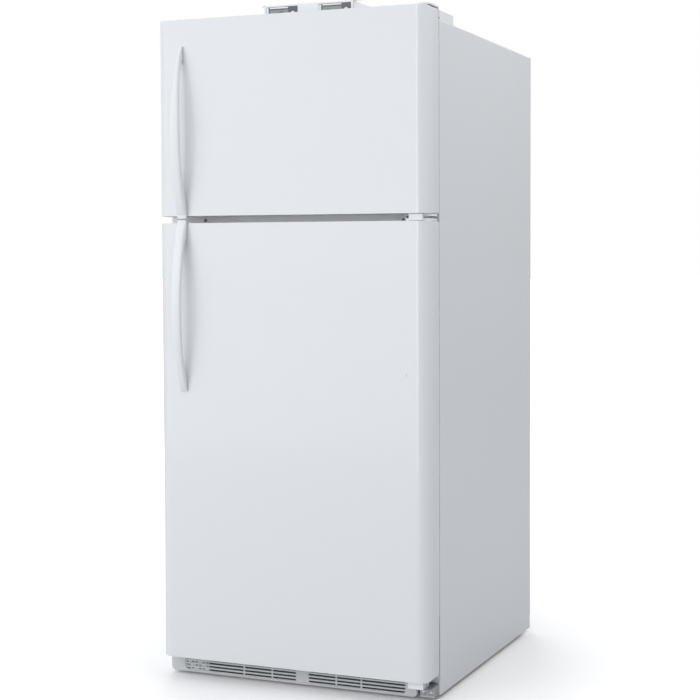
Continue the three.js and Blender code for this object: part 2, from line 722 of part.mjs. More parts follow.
function controlBox() {
  const { half, depth, wall } = CONTROL;
  const back = CONTROL_FRONT + depth;
  const shell = cut(
    box(span(half), [CONTROL_FRONT, back], CONTROL_Z),
    box(span(half - wall), [CONTROL_FRONT + wall, back - wall], [
      CONTROL_Z[0] + wall,
      CONTROL_Z[1] + OVERCUT,
    ]),
  );
  const reach = around(CONTROL_FRONT, 2 * PLUNGER.stem);
  const place = [PLUNGER.x, PLUNGER_Z];
  return cut(shell, rod("y", PLUNGER.radius + RUNNING / 2, reach, place, BORE_SIDES));
}

function controlKnob() {
  const { radius, length, grip } = KNOB;
  const skirt = rod("y", radius, [-length / 2, -RUNNING], [0, 0]);
  const bar = box(span(grip / 2), [-length, -length / 2], span(radius - RUNNING));
  return join(skirt, bar);
}

// A sprung pin that the closed door's rim stands just clear of.
function doorSwitchPlunger() {
  const tip = DOOR_BACK + DYKE_DEPTH + PLUNGER.toDoor;
  const reach = [tip, CONTROL_FRONT + PLUNGER.stem];
  return rod("y", PLUNGER.radius, reach, [PLUNGER.x, PLUNGER_Z], BORE_SIDES);
}

// ---------------------------------------------------------------- doors

// The door's outer body, drawn in on every side but the back by an inset.
function doorBody({ bottom, top }, inset, back) {
  const half = HALF - inset;
  const front = DOOR_FRONT + inset;
  const radius = DOOR_EDGE_RADIUS - inset;
  const plan = new THREE.Shape()
    .moveTo(-half, back)
    .absarc(-half + radius, front + radius, radius, Math.PI, 1.5 * Math.PI, false)
    .absarc(half - radius, front + radius, radius, -Math.PI / 2, 0, false)
    .lineTo(half, back);
  const low = bottom === DOOR_BOTTOM ? DOOR_END_RADIUS : DOOR_SPLIT_RADIUS;
  const high = top === DOOR_TOP ? DOOR_END_RADIUS : DOOR_SPLIT_RADIUS;
  const height = [bottom + inset, top - inset];
  const face = panel(span(half), height, low - inset, high - inset);
  return alongZ(plan, height).intersect(alongY(face, [DOOR_FRONT - OVERCUT, back + OVERCUT]));
}

function pinHoles({ bottom, top }) {
  const radius = PIN_RADIUS + RUNNING;
  return [bottom, top].map((end) =>
    rod("z", radius, around(end, PIN_REACH + 2 * RUNNING), [PIN_X, PIN_Y], BORE_SIDES),
  );
}

function doorSkin(door) {
  const body = doorBody(door, 0, DOOR_BACK);
  return cut(body, doorBody(door, SHEET, DOOR_BACK + OVERCUT), ...pinHoles(door));
}

function doorFoam(door) {
  const body = doorBody(door, SHEET + CLEAR, DOOR_BACK - LINER - CLEAR);
  return cut(body, ...pinHoles(door));
}

function dykeBox({ room }, inset, depth) {
  const edge = DYKE_CLEAR + inset;
  return box(span(room.half - edge), depth, [room.floor + edge, room.ceiling - edge]);
}

function doorLiner(door) {
  const height = [door.bottom + DOOR_END_RADIUS, door.top - DOOR_END_RADIUS];
  const plate = box(span(INNER_HALF), [DOOR_BACK - LINER, DOOR_BACK], height);
  const rim = dykeBox(door, 0, [DOOR_BACK - LINER / 2, DOOR_BACK + DYKE_DEPTH]);
  const hollow = dykeBox(door, DYKE_WIDTH, [DOOR_BACK, DOOR_BACK + DYKE_DEPTH + OVERCUT]);
  return cut(join(plate, rim), hollow);
}

function doorGasket(low, high) {
  const half = HALF - GASKET_INSET;
  const depth = [DOOR_BACK + CLEAR, FRONT - CLEAR];
  return cut(
    box(span(half), depth, [low, high]),
    box(span(half - GASKET_WIDTH), around(DOOR_BACK, 2 * DOOR_GAP), [
      low + GASKET_WIDTH,
      high - GASKET_WIDTH,
    ]),
  );
}

function doorBin({ room }, depth, floor, height) {
  const half = room.half - DYKE_CLEAR - DYKE_WIDTH - CLEAR;
  const back = [DOOR_BACK + CLEAR, DOOR_BACK + depth];
  return cut(
    box(span(half), back, [floor, floor + height]),
    box(
      span(half - BIN_WALL),
      [back[0] + BIN_WALL, back[1] - BIN_WALL],
      [floor + BIN_WALL, floor + height + OVERCUT],
    ),
  );
}

// A bow that leaves the door at both ends, drawn from the side; z runs from its gap-side end.
function bowHandle() {
  const face = DOOR_FRONT - CLEAR;
  const reach = HANDLE_REACH - CLEAR;
  const outline = [];
  for (let i = 0; i <= HANDLE_STEPS; i += 1) {
    const t = i / HANDLE_STEPS;
    const bow = Math.sin(Math.PI * t) ** OUTER_BOW;
    outline.push(new THREE.Vector2(face - HANDLE_FOOT - (reach - HANDLE_FOOT) * bow, t));
  }
  for (let i = HANDLE_STEPS; i >= 0; i -= 1) {
    const t = HANDLE_FOOT_SHARE + (1 - 2 * HANDLE_FOOT_SHARE) * (i / HANDLE_STEPS);
    const bow = Math.sin((Math.PI * i) / HANDLE_STEPS) ** INNER_BOW;
    outline.push(new THREE.Vector2(face - (reach - HANDLE_BAR) * bow, t));
  }
  const points = outline.map(({ x, y }) => new THREE.Vector2(x, y * HANDLE_LENGTH));
  points.splice(HANDLE_STEPS + 1, 0, new THREE.Vector2(face, HANDLE_LENGTH));
  points.push(new THREE.Vector2(face, 0));
  return alongX(new THREE.Shape(points), span(HANDLE_WIDTH / 2));
}

const HANDLE_X = -HALF + HANDLE_INSET;
const PLUG = { radius: 5, proud: 1.5, x: PIN_X - 40, belowSplit: 378 };

function holePlug() {
  const reach = [DOOR_FRONT - PLUG.proud, DOOR_FRONT - CLEAR];
  return rod("y", PLUG.radius, reach, [PLUG.x, SPLIT - PLUG.belowSplit], BORE_SIDES);
}

// ---------------------------------------------------------------- hinges

// A plate with a round eye about the pin, reaching back to a given y.
function hingeArm(left, back, height) {
  const outline = new THREE.Shape()
    .moveTo(PIN_X + HINGE_EYE, back)
    .lineTo(left, back)
    .lineTo(left, PIN_Y)
    .absarc(PIN_X, PIN_Y, HINGE_EYE, Math.PI, 2 * Math.PI, false);
  return alongZ(outline, height);
}

const TOP_HINGE = { length: 92, setback: 3, cover: 24, coverWall: 2, coverSide: 8 };
const MIDDLE_LEFT = PIN_X - 66;
const SPACER = { left: 40, right: 4, setback: 5, depth: 19, half: 8 };
const CAM = { left: 38, right: 2, setback: 8, height: 17 };
const CAM_LOW = DOOR_BOTTOM - CLEAR - CAM.height;
const pin = (height) => rod("z", PIN_RADIUS, height, [PIN_X, PIN_Y], BORE_SIDES);

function topHinge() {
  const { length, setback } = TOP_HINGE;
  const width = around(PIN_X, HINGE_EYE);
  const start = FRONT + setback;
  const arm = from(DOOR_TOP + RUNNING, HINGE_PLATE);
  return join(
    box(width, [start, start + length], from(CABINET_TOP + CLEAR, HINGE_PLATE)),
    box(width, from(start, HINGE_PLATE), [CABINET_TOP + CLEAR, arm[1]]),
    hingeArm(PIN_X - HINGE_EYE, start + HINGE_PLATE / 2, arm),
    pin([DOOR_TOP - PIN_REACH, arm[0] + HINGE_PLATE / 2]),
  );
}

function topHingeCover() {
  const { length, setback, cover, coverWall, coverSide } = TOP_HINGE;
  const start = FRONT + setback + HINGE_PLATE + RUNNING;
  const end = FRONT + setback + length + coverSide;
  const half = HINGE_EYE + coverWall + CLEAR;
  const low = CABINET_TOP + CLEAR;
  return cut(
    box(around(PIN_X, half), [start, end], from(low, cover)),
    box(around(PIN_X, half - coverWall), [start + coverWall, end - coverWall], [
      low - OVERCUT,
      low + cover - coverWall,
    ]),
    box(around(PIN_X, HINGE_EYE + CLEAR), around(start, 2 * coverWall), [
      low - OVERCUT,
      low + HINGE_PLATE + CLEAR,
    ]),
  );
}

function middleHinge() {
  const flange = [FRONT - CLEAR - HINGE_PLATE, FRONT - CLEAR];
  return join(
    hingeArm(PIN_X - HINGE_EYE, flange[1], around(SPLIT, HINGE_PLATE / 2)),
    box([MIDDLE_LEFT, PIN_X + HINGE_EYE], flange, around(SPLIT, SPACER.half)),
    pin(around(SPLIT, SPLIT_GAP / 2 + PIN_REACH)),
  );
}

function hingeSpacer() {
  const { left, right, setback, depth, half } = SPACER;
  const start = DOOR_FRONT + setback;
  const block = box([PIN_X - left, PIN_X + right], from(start, depth), around(SPLIT, half));
  const slot = from(PIN_Y - HINGE_EYE - CLEAR, depth);
  return cut(block, box(span(HALF), slot, around(SPLIT, HINGE_PLATE / 2 + CLEAR)));
}

function bottomHinge() {
  const shelf = from(CAM_LOW - RUNNING - HINGE_PLATE, HINGE_PLATE);
  const right = HALF - GRILLE_SIDE_GAP;
  const flange = [FRONT - CLEAR - HINGE_PLATE, FRONT - CLEAR];
  const lift = PANEL_BOTTOM + SHEET;
  return join(
    box([right - BRACKET_WIDTH, right], flange, [lift, CAM_LOW + HINGE_PLATE]),
    hingeArm(PIN_X - HINGE_EYE, flange[1], shelf),
    pin([shelf[0] + HINGE_PLATE / 2, DOOR_BOTTOM + PIN_REACH]),
  );
}

// A white cam on the lower door's end that stops the door when it is fully open.
function doorCam() {
  const { left, right, setback, height } = CAM;
  const depth = [DOOR_FRONT + setback, FRONT - GRILLE_PROUD - RUNNING];
  const block = box([PIN_X - left, PIN_X + right], depth, from(CAM_LOW, height));
  const bore = around(CAM_LOW, 2 * height);
  return cut(block, rod("z", PIN_RADIUS + RUNNING, bore, [PIN_X, PIN_Y], BORE_SIDES));
}

// ---------------------------------------------------------------- thermometers

const HOUSING = { width: 253, depth: 112, height: 62, wall: 3, setback: 14, middle: 16 };
const DISPLAY = { width: 88, height: 34, depth: 16, proud: 1.5, below: 5, spread: 74 };
const BUTTON = { radius: 5, length: 7, proud: 1.5, fromEnd: 12 };
const HOUSING_FRONT = FRONT + HOUSING.setback;
const HOUSING_TOP = CABINET_TOP + HOUSING.height;
const DISPLAY_Z = HOUSING_TOP - DISPLAY.below - DISPLAY.height / 2;
const displayX = (side) => HOUSING.middle + side * DISPLAY.spread;

function thermometerHousing() {
  const { width, depth, wall, middle } = HOUSING;
  const back = HOUSING_FRONT + depth;
  const windows = [-1, 1].map((side) =>
    box(
      around(displayX(side), DISPLAY.width / 2 + CLEAR),
      around(HOUSING_FRONT, 2 * wall),
      around(DISPLAY_Z, DISPLAY.height / 2 + CLEAR),
    ),
  );
  return cut(
    box(around(middle, width / 2), [HOUSING_FRONT, back], [CABINET_TOP + CLEAR, HOUSING_TOP]),
    box(around(middle, width / 2 - wall), [HOUSING_FRONT + wall, back - wall], [
      CABINET_TOP - OVERCUT,
      HOUSING_TOP - wall,
    ]),
    ...windows,
  );
}

function thermometerDisplay() {
  const { width, height, depth, proud } = DISPLAY;
  const block = box(span(width / 2), [-proud, depth - proud], span(height / 2));
  const seat = [-proud - OVERCUT, BUTTON.length + RUNNING];
  const place = [width / 2 - BUTTON.fromEnd, 0];
  return cut(block, rod("y", BUTTON.radius + RUNNING / 2, seat, place, HUB_SIDES));
}

function thermometerButton() {
  const start = -DISPLAY.proud - BUTTON.proud;
  return rod("y", BUTTON.radius, from(start, BUTTON.length), [0, 0], HUB_SIDES);
}

// ---------------------------------------------------------------- assembly

const sides = { left: -1, right: 1 };
const forBoth = (make) => Object.entries(sides).map(([name, side]) => make(name, side));

function turned(mesh, rotation) {
  mesh.rotation.set(...rotation);
  return mesh;
}

function cabinetGroup() {
  return assembly(
    piece("cabinet_shell", cabinetShell(), PAINT),
    piece("insulation_foam", insulationFoam(), FOAM),
    piece("freezer_liner", freezerLiner(), LINER_PLASTIC),
    piece("fresh_food_liner", fridgeLiner(), LINER_PLASTIC),
    piece("mullion_rail", mullionRail(), PAINT),
    piece("back_panel", backPanel(), ZINC),
    piece("base_frame", baseFrame(), ZINC),
    piece("toe_grille", toeGrille(), GREY_PLASTIC),
    ...forBoth((name, side) =>
      piece(`levelling_leg_${name}`, levellingLeg(), DARK_RUBBER, [...legPlace(side), 0]),
    ),
    ...forBoth((name, side) =>
      piece(`rear_roller_${name}`, rearRoller(), GREY_PLASTIC, [
        side * (HALF - ROLLER_INSET),
        BACK - ROLLER_FROM_BACK,
        ROLLER_RADIUS,
      ]),
    ),
  );
}

function machineGroup() {
  const fanX = -HALF + CONDENSER.fromSide;
  const fanZ = BASE_TOP + CONDENSER_FAN.lift;
  const fanFront = fanX + CONDENSER.pitch;
  const fan = piece("condenser_fan", fanWheel(CONDENSER_FAN), BLACK_PLASTIC);
  fan.position.set(fanFront, MACHINE_MID, fanZ);
  const motorX = fanFront + CONDENSER_FAN.depth + FAN_TO_MOTOR;
  return assembly(
    piece("compressor", compressor(), BLACK_STEEL, compressorPlace),
    piece("condenser_coil", condenserCoil(), COPPER, [fanX, MACHINE_MID, 0]),
    turned(fan, [0, Math.PI / 2, 0]),
    piece("condenser_fan_motor", condenserFanMotor(), BLACK_STEEL, [motorX, MACHINE_MID, 0]),
    piece("machine_cover", machineCover(), ZINC),
    piece("power_inlet", powerInlet(), BLACK_PLASTIC),
  );
}

function freezerGroup() {
  const fan = piece("evaporator_fan", fanWheel(FREEZER_FAN), WHITE_PLASTIC);
  const fanBack = EVAPORATOR_COVER + COVER_SHEET + FAN_TO_MOTOR + FREEZER_FAN.depth;
  fan.position.set(0, fanBack, FREEZER_FAN_Z);
  return assembly(
    piece("evaporator_cover", evaporatorCover(), LINER_PLASTIC),
    piece("evaporator_coil", evaporatorCoil(), ALUMINIUM),
    turned(fan, [Math.PI / 2, 0, 0]),
    piece("evaporator_fan_motor", evaporatorFanMotor(), BLACK_STEEL),
    piece("freezer_shelf", freezerShelf(), WHITE_PLASTIC),
  );
}

function fridgeGroup() {
  const names = ["crisper_cover", "lower_shelf", "upper_shelf"];
  const shelves = names.map((name, i) =>
    assembly(
      piece(`${name}_frame`, shelfFrame(), WHITE_PLASTIC, [0, 0, SHELF_HEIGHTS[i]]),
      piece(`${name}_glass`, shelfGlassBox(0), GLASS, [0, 0, SHELF_HEIGHTS[i]]),
    ),
  );
  const drawers = forBoth((name, side) =>
    piece(`crisper_${name}`, crisper(), CLEAR_PLASTIC, [
      side * (DRAWER_HALF + DRAWER_GAP / 2),
      0,
      0,
    ]),
  );
  const knobs = Object.entries(KNOB.places).map(([name, x]) =>
    piece(`${name}_control_knob`, controlKnob(), WHITE_PLASTIC, [x, CONTROL_FRONT, KNOB_Z]),
  );
  return assembly(
    ...shelves,
    ...drawers,
    piece("control_box", controlBox(), WHITE_PLASTIC),
    ...knobs,
    piece("door_switch_plunger", doorSwitchPlunger(), WHITE_PLASTIC),
  );
}

function doorGroup(name, gasket, bins, handleZ) {
  const door = DOORS[name];
  return assembly(
    piece(`${name}_door_skin`, doorSkin(door), PAINT),
    piece(`${name}_door_foam`, doorFoam(door), FOAM),
    piece(`${name}_door_liner`, doorLiner(door), LINER_PLASTIC),
    piece(`${name}_door_gasket`, gasket, GASKET_RUBBER),
    piece(`${name}_door_handle`, bowHandle(), WHITE_PLASTIC, [HANDLE_X, 0, handleZ]),
    ...bins,
  );
}

function freezerDoorGroup() {
  const door = DOORS.freezer;
  const gasket = doorGasket(door.bottom + GASKET_END_INSET, door.top - GASKET_TOP_INSET);
  const floor = door.room.floor + DYKE_CLEAR + 2 * DYKE_WIDTH;
  const bin = doorBin(door, FREEZER_BIN_DEPTH, floor, FREEZER_BIN_HEIGHT);
  const bins = [piece("freezer_door_bin", bin, CLEAR_PLASTIC)];
  return doorGroup("freezer", gasket, bins, door.bottom + HANDLE_END_GAP);
}

function fridgeDoorGroup() {
  const door = DOORS.fridge;
  const gasket = doorGasket(door.bottom + GASKET_OUTER_INSET, door.top - GASKET_END_INSET);
  const floors = { lower: COVER_SHELF + SHELF_HEIGHT, upper: SHELF_HEIGHTS[2] };
  const bins = Object.entries(FRIDGE_BIN_HEIGHTS).map(([level, height]) =>
    piece(
      `fridge_door_bin_${level}`,
      doorBin(door, FRIDGE_BIN_DEPTH, floors[level], height),
      CLEAR_PLASTIC,
    ),
  );
  const handleZ = door.top - HANDLE_END_GAP - HANDLE_LENGTH;
  const extras = [
    piece("door_hole_plug", holePlug(), WHITE_PLASTIC),
    piece("door_cam", doorCam(), WHITE_PLASTIC),
  ];
  return doorGroup("fridge", gasket, [...bins, ...extras], handleZ);
}

function hingeGroup() {
  return assembly(
    piece("top_hinge", topHinge(), ZINC),
    piece("top_hinge_cover", topHingeCover(), WHITE_PLASTIC),
    piece("middle_hinge", middleHinge(), ZINC),
    piece("hinge_spacer", hingeSpacer(), WHITE_PLASTIC),
    piece("bottom_hinge", bottomHinge(), ZINC),
  );
}

function thermometerGroup() {
  const displays = forBoth((name, side) => {
    const display = assembly(
      piece(`thermometer_${name}`, thermometerDisplay(), GREY_PLASTIC),
      piece(`thermometer_button_${name}`, thermometerButton(), WHITE_PLASTIC, [
        DISPLAY.width / 2 - BUTTON.fromEnd,
        0,
        0,
      ]),
    );
    display.position.set(displayX(side), HOUSING_FRONT, DISPLAY_Z);
    return display;
  });
  return assembly(
    piece("thermometer_housing", thermometerHousing(), WHITE_PLASTIC),
    ...displays,
  );
}

const refrigerator = assembly(
  cabinetGroup(),
  machineGroup(),
  freezerGroup(),
  fridgeGroup(),
  freezerDoorGroup(),
  fridgeDoorGroup(),
  hingeGroup(),
  thermometerGroup(),
);

export default refrigerator;
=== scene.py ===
"""Looks of a top freezer refrigerator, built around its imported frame.

Metres, +Z up, the doors towards -Y. Each sub-assembly is a class whose methods model its
pieces, dress them in a finish and hand them to the body they ride on.
"""

import functools
import logging
import math
from dataclasses import dataclass, field
from enum import Enum
from typing import Any, Callable, Iterable

import bmesh
import bpy
from mathutils import Matrix, Vector


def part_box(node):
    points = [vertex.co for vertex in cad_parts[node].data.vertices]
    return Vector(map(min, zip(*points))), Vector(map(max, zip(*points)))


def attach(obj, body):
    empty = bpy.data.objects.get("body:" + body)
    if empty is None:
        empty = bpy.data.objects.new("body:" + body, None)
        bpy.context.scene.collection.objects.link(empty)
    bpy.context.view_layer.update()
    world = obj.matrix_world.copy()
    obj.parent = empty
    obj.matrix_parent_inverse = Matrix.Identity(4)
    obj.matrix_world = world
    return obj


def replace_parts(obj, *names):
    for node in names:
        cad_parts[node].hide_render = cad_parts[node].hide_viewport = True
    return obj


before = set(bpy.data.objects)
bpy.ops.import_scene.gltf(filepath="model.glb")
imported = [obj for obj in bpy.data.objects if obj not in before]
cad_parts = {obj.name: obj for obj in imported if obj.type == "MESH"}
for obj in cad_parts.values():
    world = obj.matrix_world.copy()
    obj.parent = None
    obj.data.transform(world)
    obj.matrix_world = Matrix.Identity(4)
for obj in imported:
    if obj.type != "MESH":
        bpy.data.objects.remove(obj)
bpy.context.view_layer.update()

LOG = logging.getLogger("refrigerator")
MM = 0.001
NEAR = 0.0002
FLAT = math.radians(2.0)
Test = Callable[[Vector, Vector], bool]
Span = tuple[float, float]
Colour = tuple[float, float, float]
NODES: dict[str, bpy.types.Object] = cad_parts


class Slot(Enum):
    """The record's material slots."""

    PAINT = "paint"
    LINER = "liner_plastic"
    WHITE = "white_plastic"
    GREY = "grey_plastic"
    GASKET = "gasket_rubber"
    ZINC = "zinc"
    BLACK_STEEL = "black_steel"
    BLACK_PLASTIC = "black_plastic"
    ALUMINIUM = "aluminium"
    COPPER = "copper"
    GLASS = "glass"
    CLEAR = "clear_plastic"
    RUBBER = "dark_rubber"


# ---------------------------------------------------------------- shader effects


class Layout:
    """A shader node tree being laid out."""

    def __init__(self, tree: bpy.types.NodeTree) -> None:
        """Starts on an empty tree.

        Args:
            tree: The tree that the nodes go into.
        """
        self.tree = tree
        tree.nodes.clear()

    def add(self, kind: str, feeds: dict[Any, Any] | None = None, **options: Any) -> Any:
        """Adds a node.

        Args:
            kind: The node's type.
            feeds: A value or an output socket for each named or numbered input.
            options: The node's own settings.

        Returns:
            The node's outputs.
        """
        node = self.tree.nodes.new(kind)
        for option, value in options.items():
            setattr(node, option, value)
        for socket, value in (feeds or {}).items():
            if isinstance(value, bpy.types.NodeSocket):
                self.tree.links.new(value, node.inputs[socket])
            else:
                node.inputs[socket].default_value = value
        return node.outputs

    def math(self, operation: str, first: Any, second: Any = 0.0) -> Any:
        """Adds a Math node and returns its output."""
        return self.add("ShaderNodeMath", {0: first, 1: second}, operation=operation)[0]

    def blend(self, share: Any, first: Any, second: Any) -> Any:
        """Adds a colour Mix node and returns its output."""
        feeds = {"Factor": share, 6: first, 7: second}
        return self.add("ShaderNodeMix", feeds, data_type="RGBA")[2]

    def place(self) -> Any:
        """Adds the object's own coordinates and returns them."""
        return self.add("ShaderNodeTexCoord")["Object"]


class Effects:
    """The effects that several finishes share, each a shader node group built once."""

    def _group(
        self, name: str, inputs: dict[str, Any], outputs: dict[str, str]
    ) -> tuple[Layout, Any, Any]:
        """Starts a node group.

        Args:
            name: The group's name.
            inputs: The default of each named input: a number or a colour.
            outputs: The kind of each named output, Float or Color.

        Returns:
            The layout, the inputs that it is given and the outputs that it fills.
        """
        tree = bpy.data.node_groups.new(name, "ShaderNodeTree")
        for label, default in inputs.items():
            kind = "Color" if isinstance(default, tuple) else "Float"
            made = tree.interface.new_socket(
                name=label, in_out="INPUT", socket_type=f"NodeSocket{kind}"
            )
            made.default_value = default
        for label, kind in outputs.items():
            tree.interface.new_socket(name=label, in_out="OUTPUT", socket_type=f"NodeSocket{kind}")
        layout = Layout(tree)
        given = layout.add("NodeGroupInput")
        result = tree.nodes.new("NodeGroupOutput").inputs
        return layout, given, result

    @functools.cached_property
    def relief(self) -> bpy.types.NodeTree:
        """Fine bumps of two sizes, stretched along one axis for brushed metal.

        Returns:
            The node group.
        """
        inputs = {"Scale": 300.0, "Stretch": 1.0, "Fine Share": 0.35}
        sheet, given, result = self._group("Fine Relief", inputs, {"Height": "Float"})
        stretch = sheet.add(
            "ShaderNodeCombineXYZ", {"X": 1.0, "Y": 1.0, "Z": given["Stretch"]}
        )[0]
        place = sheet.add(
            "ShaderNodeVectorMath", {0: sheet.place(), 1: stretch}, operation="MULTIPLY"
        )[0]
        coarse = sheet.add(
            "ShaderNodeTexNoise", {"Vector": place, "Scale": given["Scale"], "Detail": 1.5}
        )["Fac"]
        finer = sheet.math("MULTIPLY", given["Scale"], 3.7)
        fine = sheet.add(
            "ShaderNodeTexNoise", {"Vector": place, "Scale": finer, "Detail": 2.0}
        )["Fac"]
        both = sheet.add(
            "ShaderNodeMix", {"Factor": given["Fine Share"], 2: coarse, 3: fine}, data_type="FLOAT"
        )[0]
        sheet.tree.links.new(both, result["Height"])
        return sheet.tree

    @functools.cached_property
    def drift(self) -> bpy.types.NodeTree:
        """A slow drift between two tones, with faint mottling over it.

        Returns:
            The node group.
        """
        inputs = {"Tone": (0.8, 0.8, 0.8, 1.0), "Second Tone": (0.7, 0.7, 0.7, 1.0), "Scale": 3.0}
        outputs = {"Tone": "Color", "Level": "Float"}
        sheet, given, result = self._group("Tone Drift", inputs, outputs)
        place = sheet.place()
        slow = sheet.add(
            "ShaderNodeTexNoise", {"Vector": place, "Scale": given["Scale"], "Detail": 3.0}
        )["Fac"]
        quick = sheet.math("MULTIPLY", given["Scale"], 19.0)
        mottle = sheet.add(
            "ShaderNodeTexNoise", {"Vector": place, "Scale": quick, "Detail": 4.0}
        )["Fac"]
        level = sheet.math(
            "ADD", sheet.math("MULTIPLY", slow, 0.7), sheet.math("MULTIPLY", mottle, 0.3)
        )
        sheet.tree.links.new(
            sheet.blend(level, given["Tone"], given["Second Tone"]), result["Tone"]
        )
        sheet.tree.links.new(level, result["Level"])
        return sheet.tree

    @functools.cached_property
    def dust(self) -> bpy.types.NodeTree:
        """A mask of dust, which lies where a surface faces up.

        Returns:
            The node group.
        """
        sheet, given, result = self._group("Settled Dust", {"Amount": 0.2}, {"Mask": "Float"})
        normal = sheet.add("ShaderNodeNewGeometry")["Normal"]
        up = sheet.add("ShaderNodeSeparateXYZ", {0: normal})["Z"]
        facing = sheet.add("ShaderNodeMapRange", {0: up, 1: 0.55, 2: 0.98, 3: 0.0, 4: 1.0})[0]
        cloud = sheet.add(
            "ShaderNodeTexNoise", {"Vector": sheet.place(), "Scale": 26.0, "Detail": 6.0}
        )["Fac"]
        patch = sheet.add("ShaderNodeMapRange", {0: cloud, 1: 0.35, 2: 0.75, 3: 0.25, 4: 1.0})[0]
        mask = sheet.math("MULTIPLY", sheet.math("MULTIPLY", facing, patch), given["Amount"])
        sheet.tree.links.new(mask, result["Mask"])
        return sheet.tree

    @functools.cached_property
    def wear(self) -> bpy.types.NodeTree:
        """A mask of worn edges, broken up by noise.

        Returns:
            The node group.
        """
        inputs = {"Width": 0.001, "Amount": 1.0}
        sheet, given, result = self._group("Edge Wear", inputs, {"Mask": "Float"})
        rounded = sheet.add("ShaderNodeBevel", {"Radius": given["Width"]}, samples=4)[0]
        normal = sheet.add("ShaderNodeNewGeometry")["Normal"]
        match = sheet.add("ShaderNodeVectorMath", {0: rounded, 1: normal}, operation="DOT_PRODUCT")
        turned = sheet.math("SUBTRACT", 1.0, match["Value"])
        edge = sheet.add("ShaderNodeMapRange", {0: turned, 1: 0.02, 2: 0.2, 3: 0.0, 4: 1.0})[0]
        chips = sheet.add(
            "ShaderNodeTexNoise", {"Vector": sheet.place(), "Scale": 240.0, "Detail": 4.0}
        )["Fac"]
        broken = sheet.add("ShaderNodeMapRange", {0: chips, 1: 0.35, 2: 0.65, 3: 0.2, 4: 1.0})[0]
        mask = sheet.math("MULTIPLY", sheet.math("MULTIPLY", edge, broken), given["Amount"])
        sheet.tree.links.new(mask, result["Mask"])
        return sheet.tree

    @functools.cached_property
    def spangle(self) -> bpy.types.NodeTree:
        """The crystal patches of a zinc coating.

        Returns:
            The node group.
        """
        outputs = {"Patch": "Float", "Height": "Float"}
        sheet, given, result = self._group("Zinc Spangle", {"Scale": 90.0}, outputs)
        place = sheet.place()
        bent = sheet.add("ShaderNodeTexNoise", {"Vector": place, "Scale": given["Scale"]})["Color"]
        shift = sheet.add(
            "ShaderNodeVectorMath", {0: bent, "Scale": 0.004}, operation="SCALE"
        )[0]
        moved = sheet.add("ShaderNodeVectorMath", {0: place, 1: shift})[0]
        cells = sheet.add("ShaderNodeTexVoronoi", {"Vector": moved, "Scale": given["Scale"]})
        patch = sheet.add("ShaderNodeSeparateColor", {0: cells["Color"]})[0]
        sheet.tree.links.new(patch, result["Patch"])
        sheet.tree.links.new(cells["Distance"], result["Height"])
        return sheet.tree


EFFECTS = Effects()
DUST = (0.55, 0.53, 0.50, 1.0)


def rgba(colour: Colour) -> tuple[float, float, float, float]:
    """The colour with an opaque fourth channel."""
    return (*colour, 1.0)


@dataclass(frozen=True)
class Finish:
    """A surface finish: painted, moulded or formed, with a slow drift and a fine relief.

    Attributes:
        name: The material's name.
        tones: The two tones that the colour drifts between.
        gloss: Roughness at the two ends of the drift.
        relief: Scale of the bumps per metre, and their depth in metres.
        stretch: How far the bumps are drawn out along Z.
        drift: Scale of the drift per metre.
        dust: How much dust settles on faces that look up.
        strength: How strongly the relief shows.
        shader: Constant settings of the shader, by socket name.
    """

    name: str
    tones: tuple[Colour, Colour]
    gloss: Span = (0.35, 0.45)
    relief: tuple[float, float] = (400.0, 0.00012)
    stretch: float = 1.0
    drift: float = 3.0
    dust: float = 0.15
    strength: float = 0.35
    shader: tuple[tuple[str, Any], ...] = ()

    def _colour(self, sheet: Layout, tone: Any, level: Any) -> tuple[Any, Any]:
        """Lays the finish's own marks over the drifting tone; plain finishes have none."""
        return tone, level

    def _height(self, sheet: Layout) -> Any:
        """The height field of the finish's relief.

        Args:
            sheet: The layout that the nodes go into.

        Returns:
            The height output.
        """
        relief = sheet.add("ShaderNodeGroup", node_tree=EFFECTS.relief)
        node = sheet.tree.nodes[-1]
        node.inputs["Scale"].default_value = self.relief[0]
        node.inputs["Stretch"].default_value = self.stretch
        return relief["Height"]

    def _effect(self, sheet: Layout, tree: bpy.types.NodeTree, feeds: dict[str, Any]) -> Any:
        """Places a shared effect with this finish's values and returns its outputs.

        Args:
            sheet: The layout that the node goes into.
            tree: The shared group.
            feeds: What each of its inputs is given.

        Returns:
            The group's outputs.
        """
        outputs = sheet.add("ShaderNodeGroup", node_tree=tree)
        node = sheet.tree.nodes[-1]
        for socket, value in feeds.items():
            node.inputs[socket].default_value = value
        return outputs

    def material(self) -> bpy.types.Material:
        """Builds the material on first use.

        Returns:
            The one material of this finish.
        """
        known = bpy.data.materials.get(self.name)
        if known:
            return known
        made = bpy.data.materials.new(self.name)
        made.use_nodes = True
        sheet = Layout(made.node_tree)
        feeds = {
            "Tone": rgba(self.tones[0]),
            "Second Tone": rgba(self.tones[1]),
            "Scale": self.drift,
        }
        drift = self._effect(sheet, EFFECTS.drift, feeds)
        dust = self._effect(sheet, EFFECTS.dust, {"Amount": self.dust})["Mask"]
        tone, level = self._colour(sheet, drift["Tone"], drift["Level"])
        low, high = self.gloss
        rough = sheet.add("ShaderNodeMapRange", {0: level, 1: 0.3, 2: 0.7, 3: low, 4: high})[0]
        dusty = sheet.math("ADD", rough, sheet.math("MULTIPLY", dust, 0.4))
        bump = sheet.add(
            "ShaderNodeBump",
            {"Strength": self.strength, "Distance": self.relief[1], "Height": self._height(sheet)},
        )[0]
        shader = sheet.add(
            "ShaderNodeBsdfPrincipled",
            {"Base Color": sheet.blend(dust, tone, DUST), "Roughness": dusty, "Normal": bump},
        )
        for socket, value in self.shader:
            sheet.tree.nodes[-1].inputs[socket].default_value = value
        sheet.add("ShaderNodeOutputMaterial", {"Surface": shader[0]})
        return made


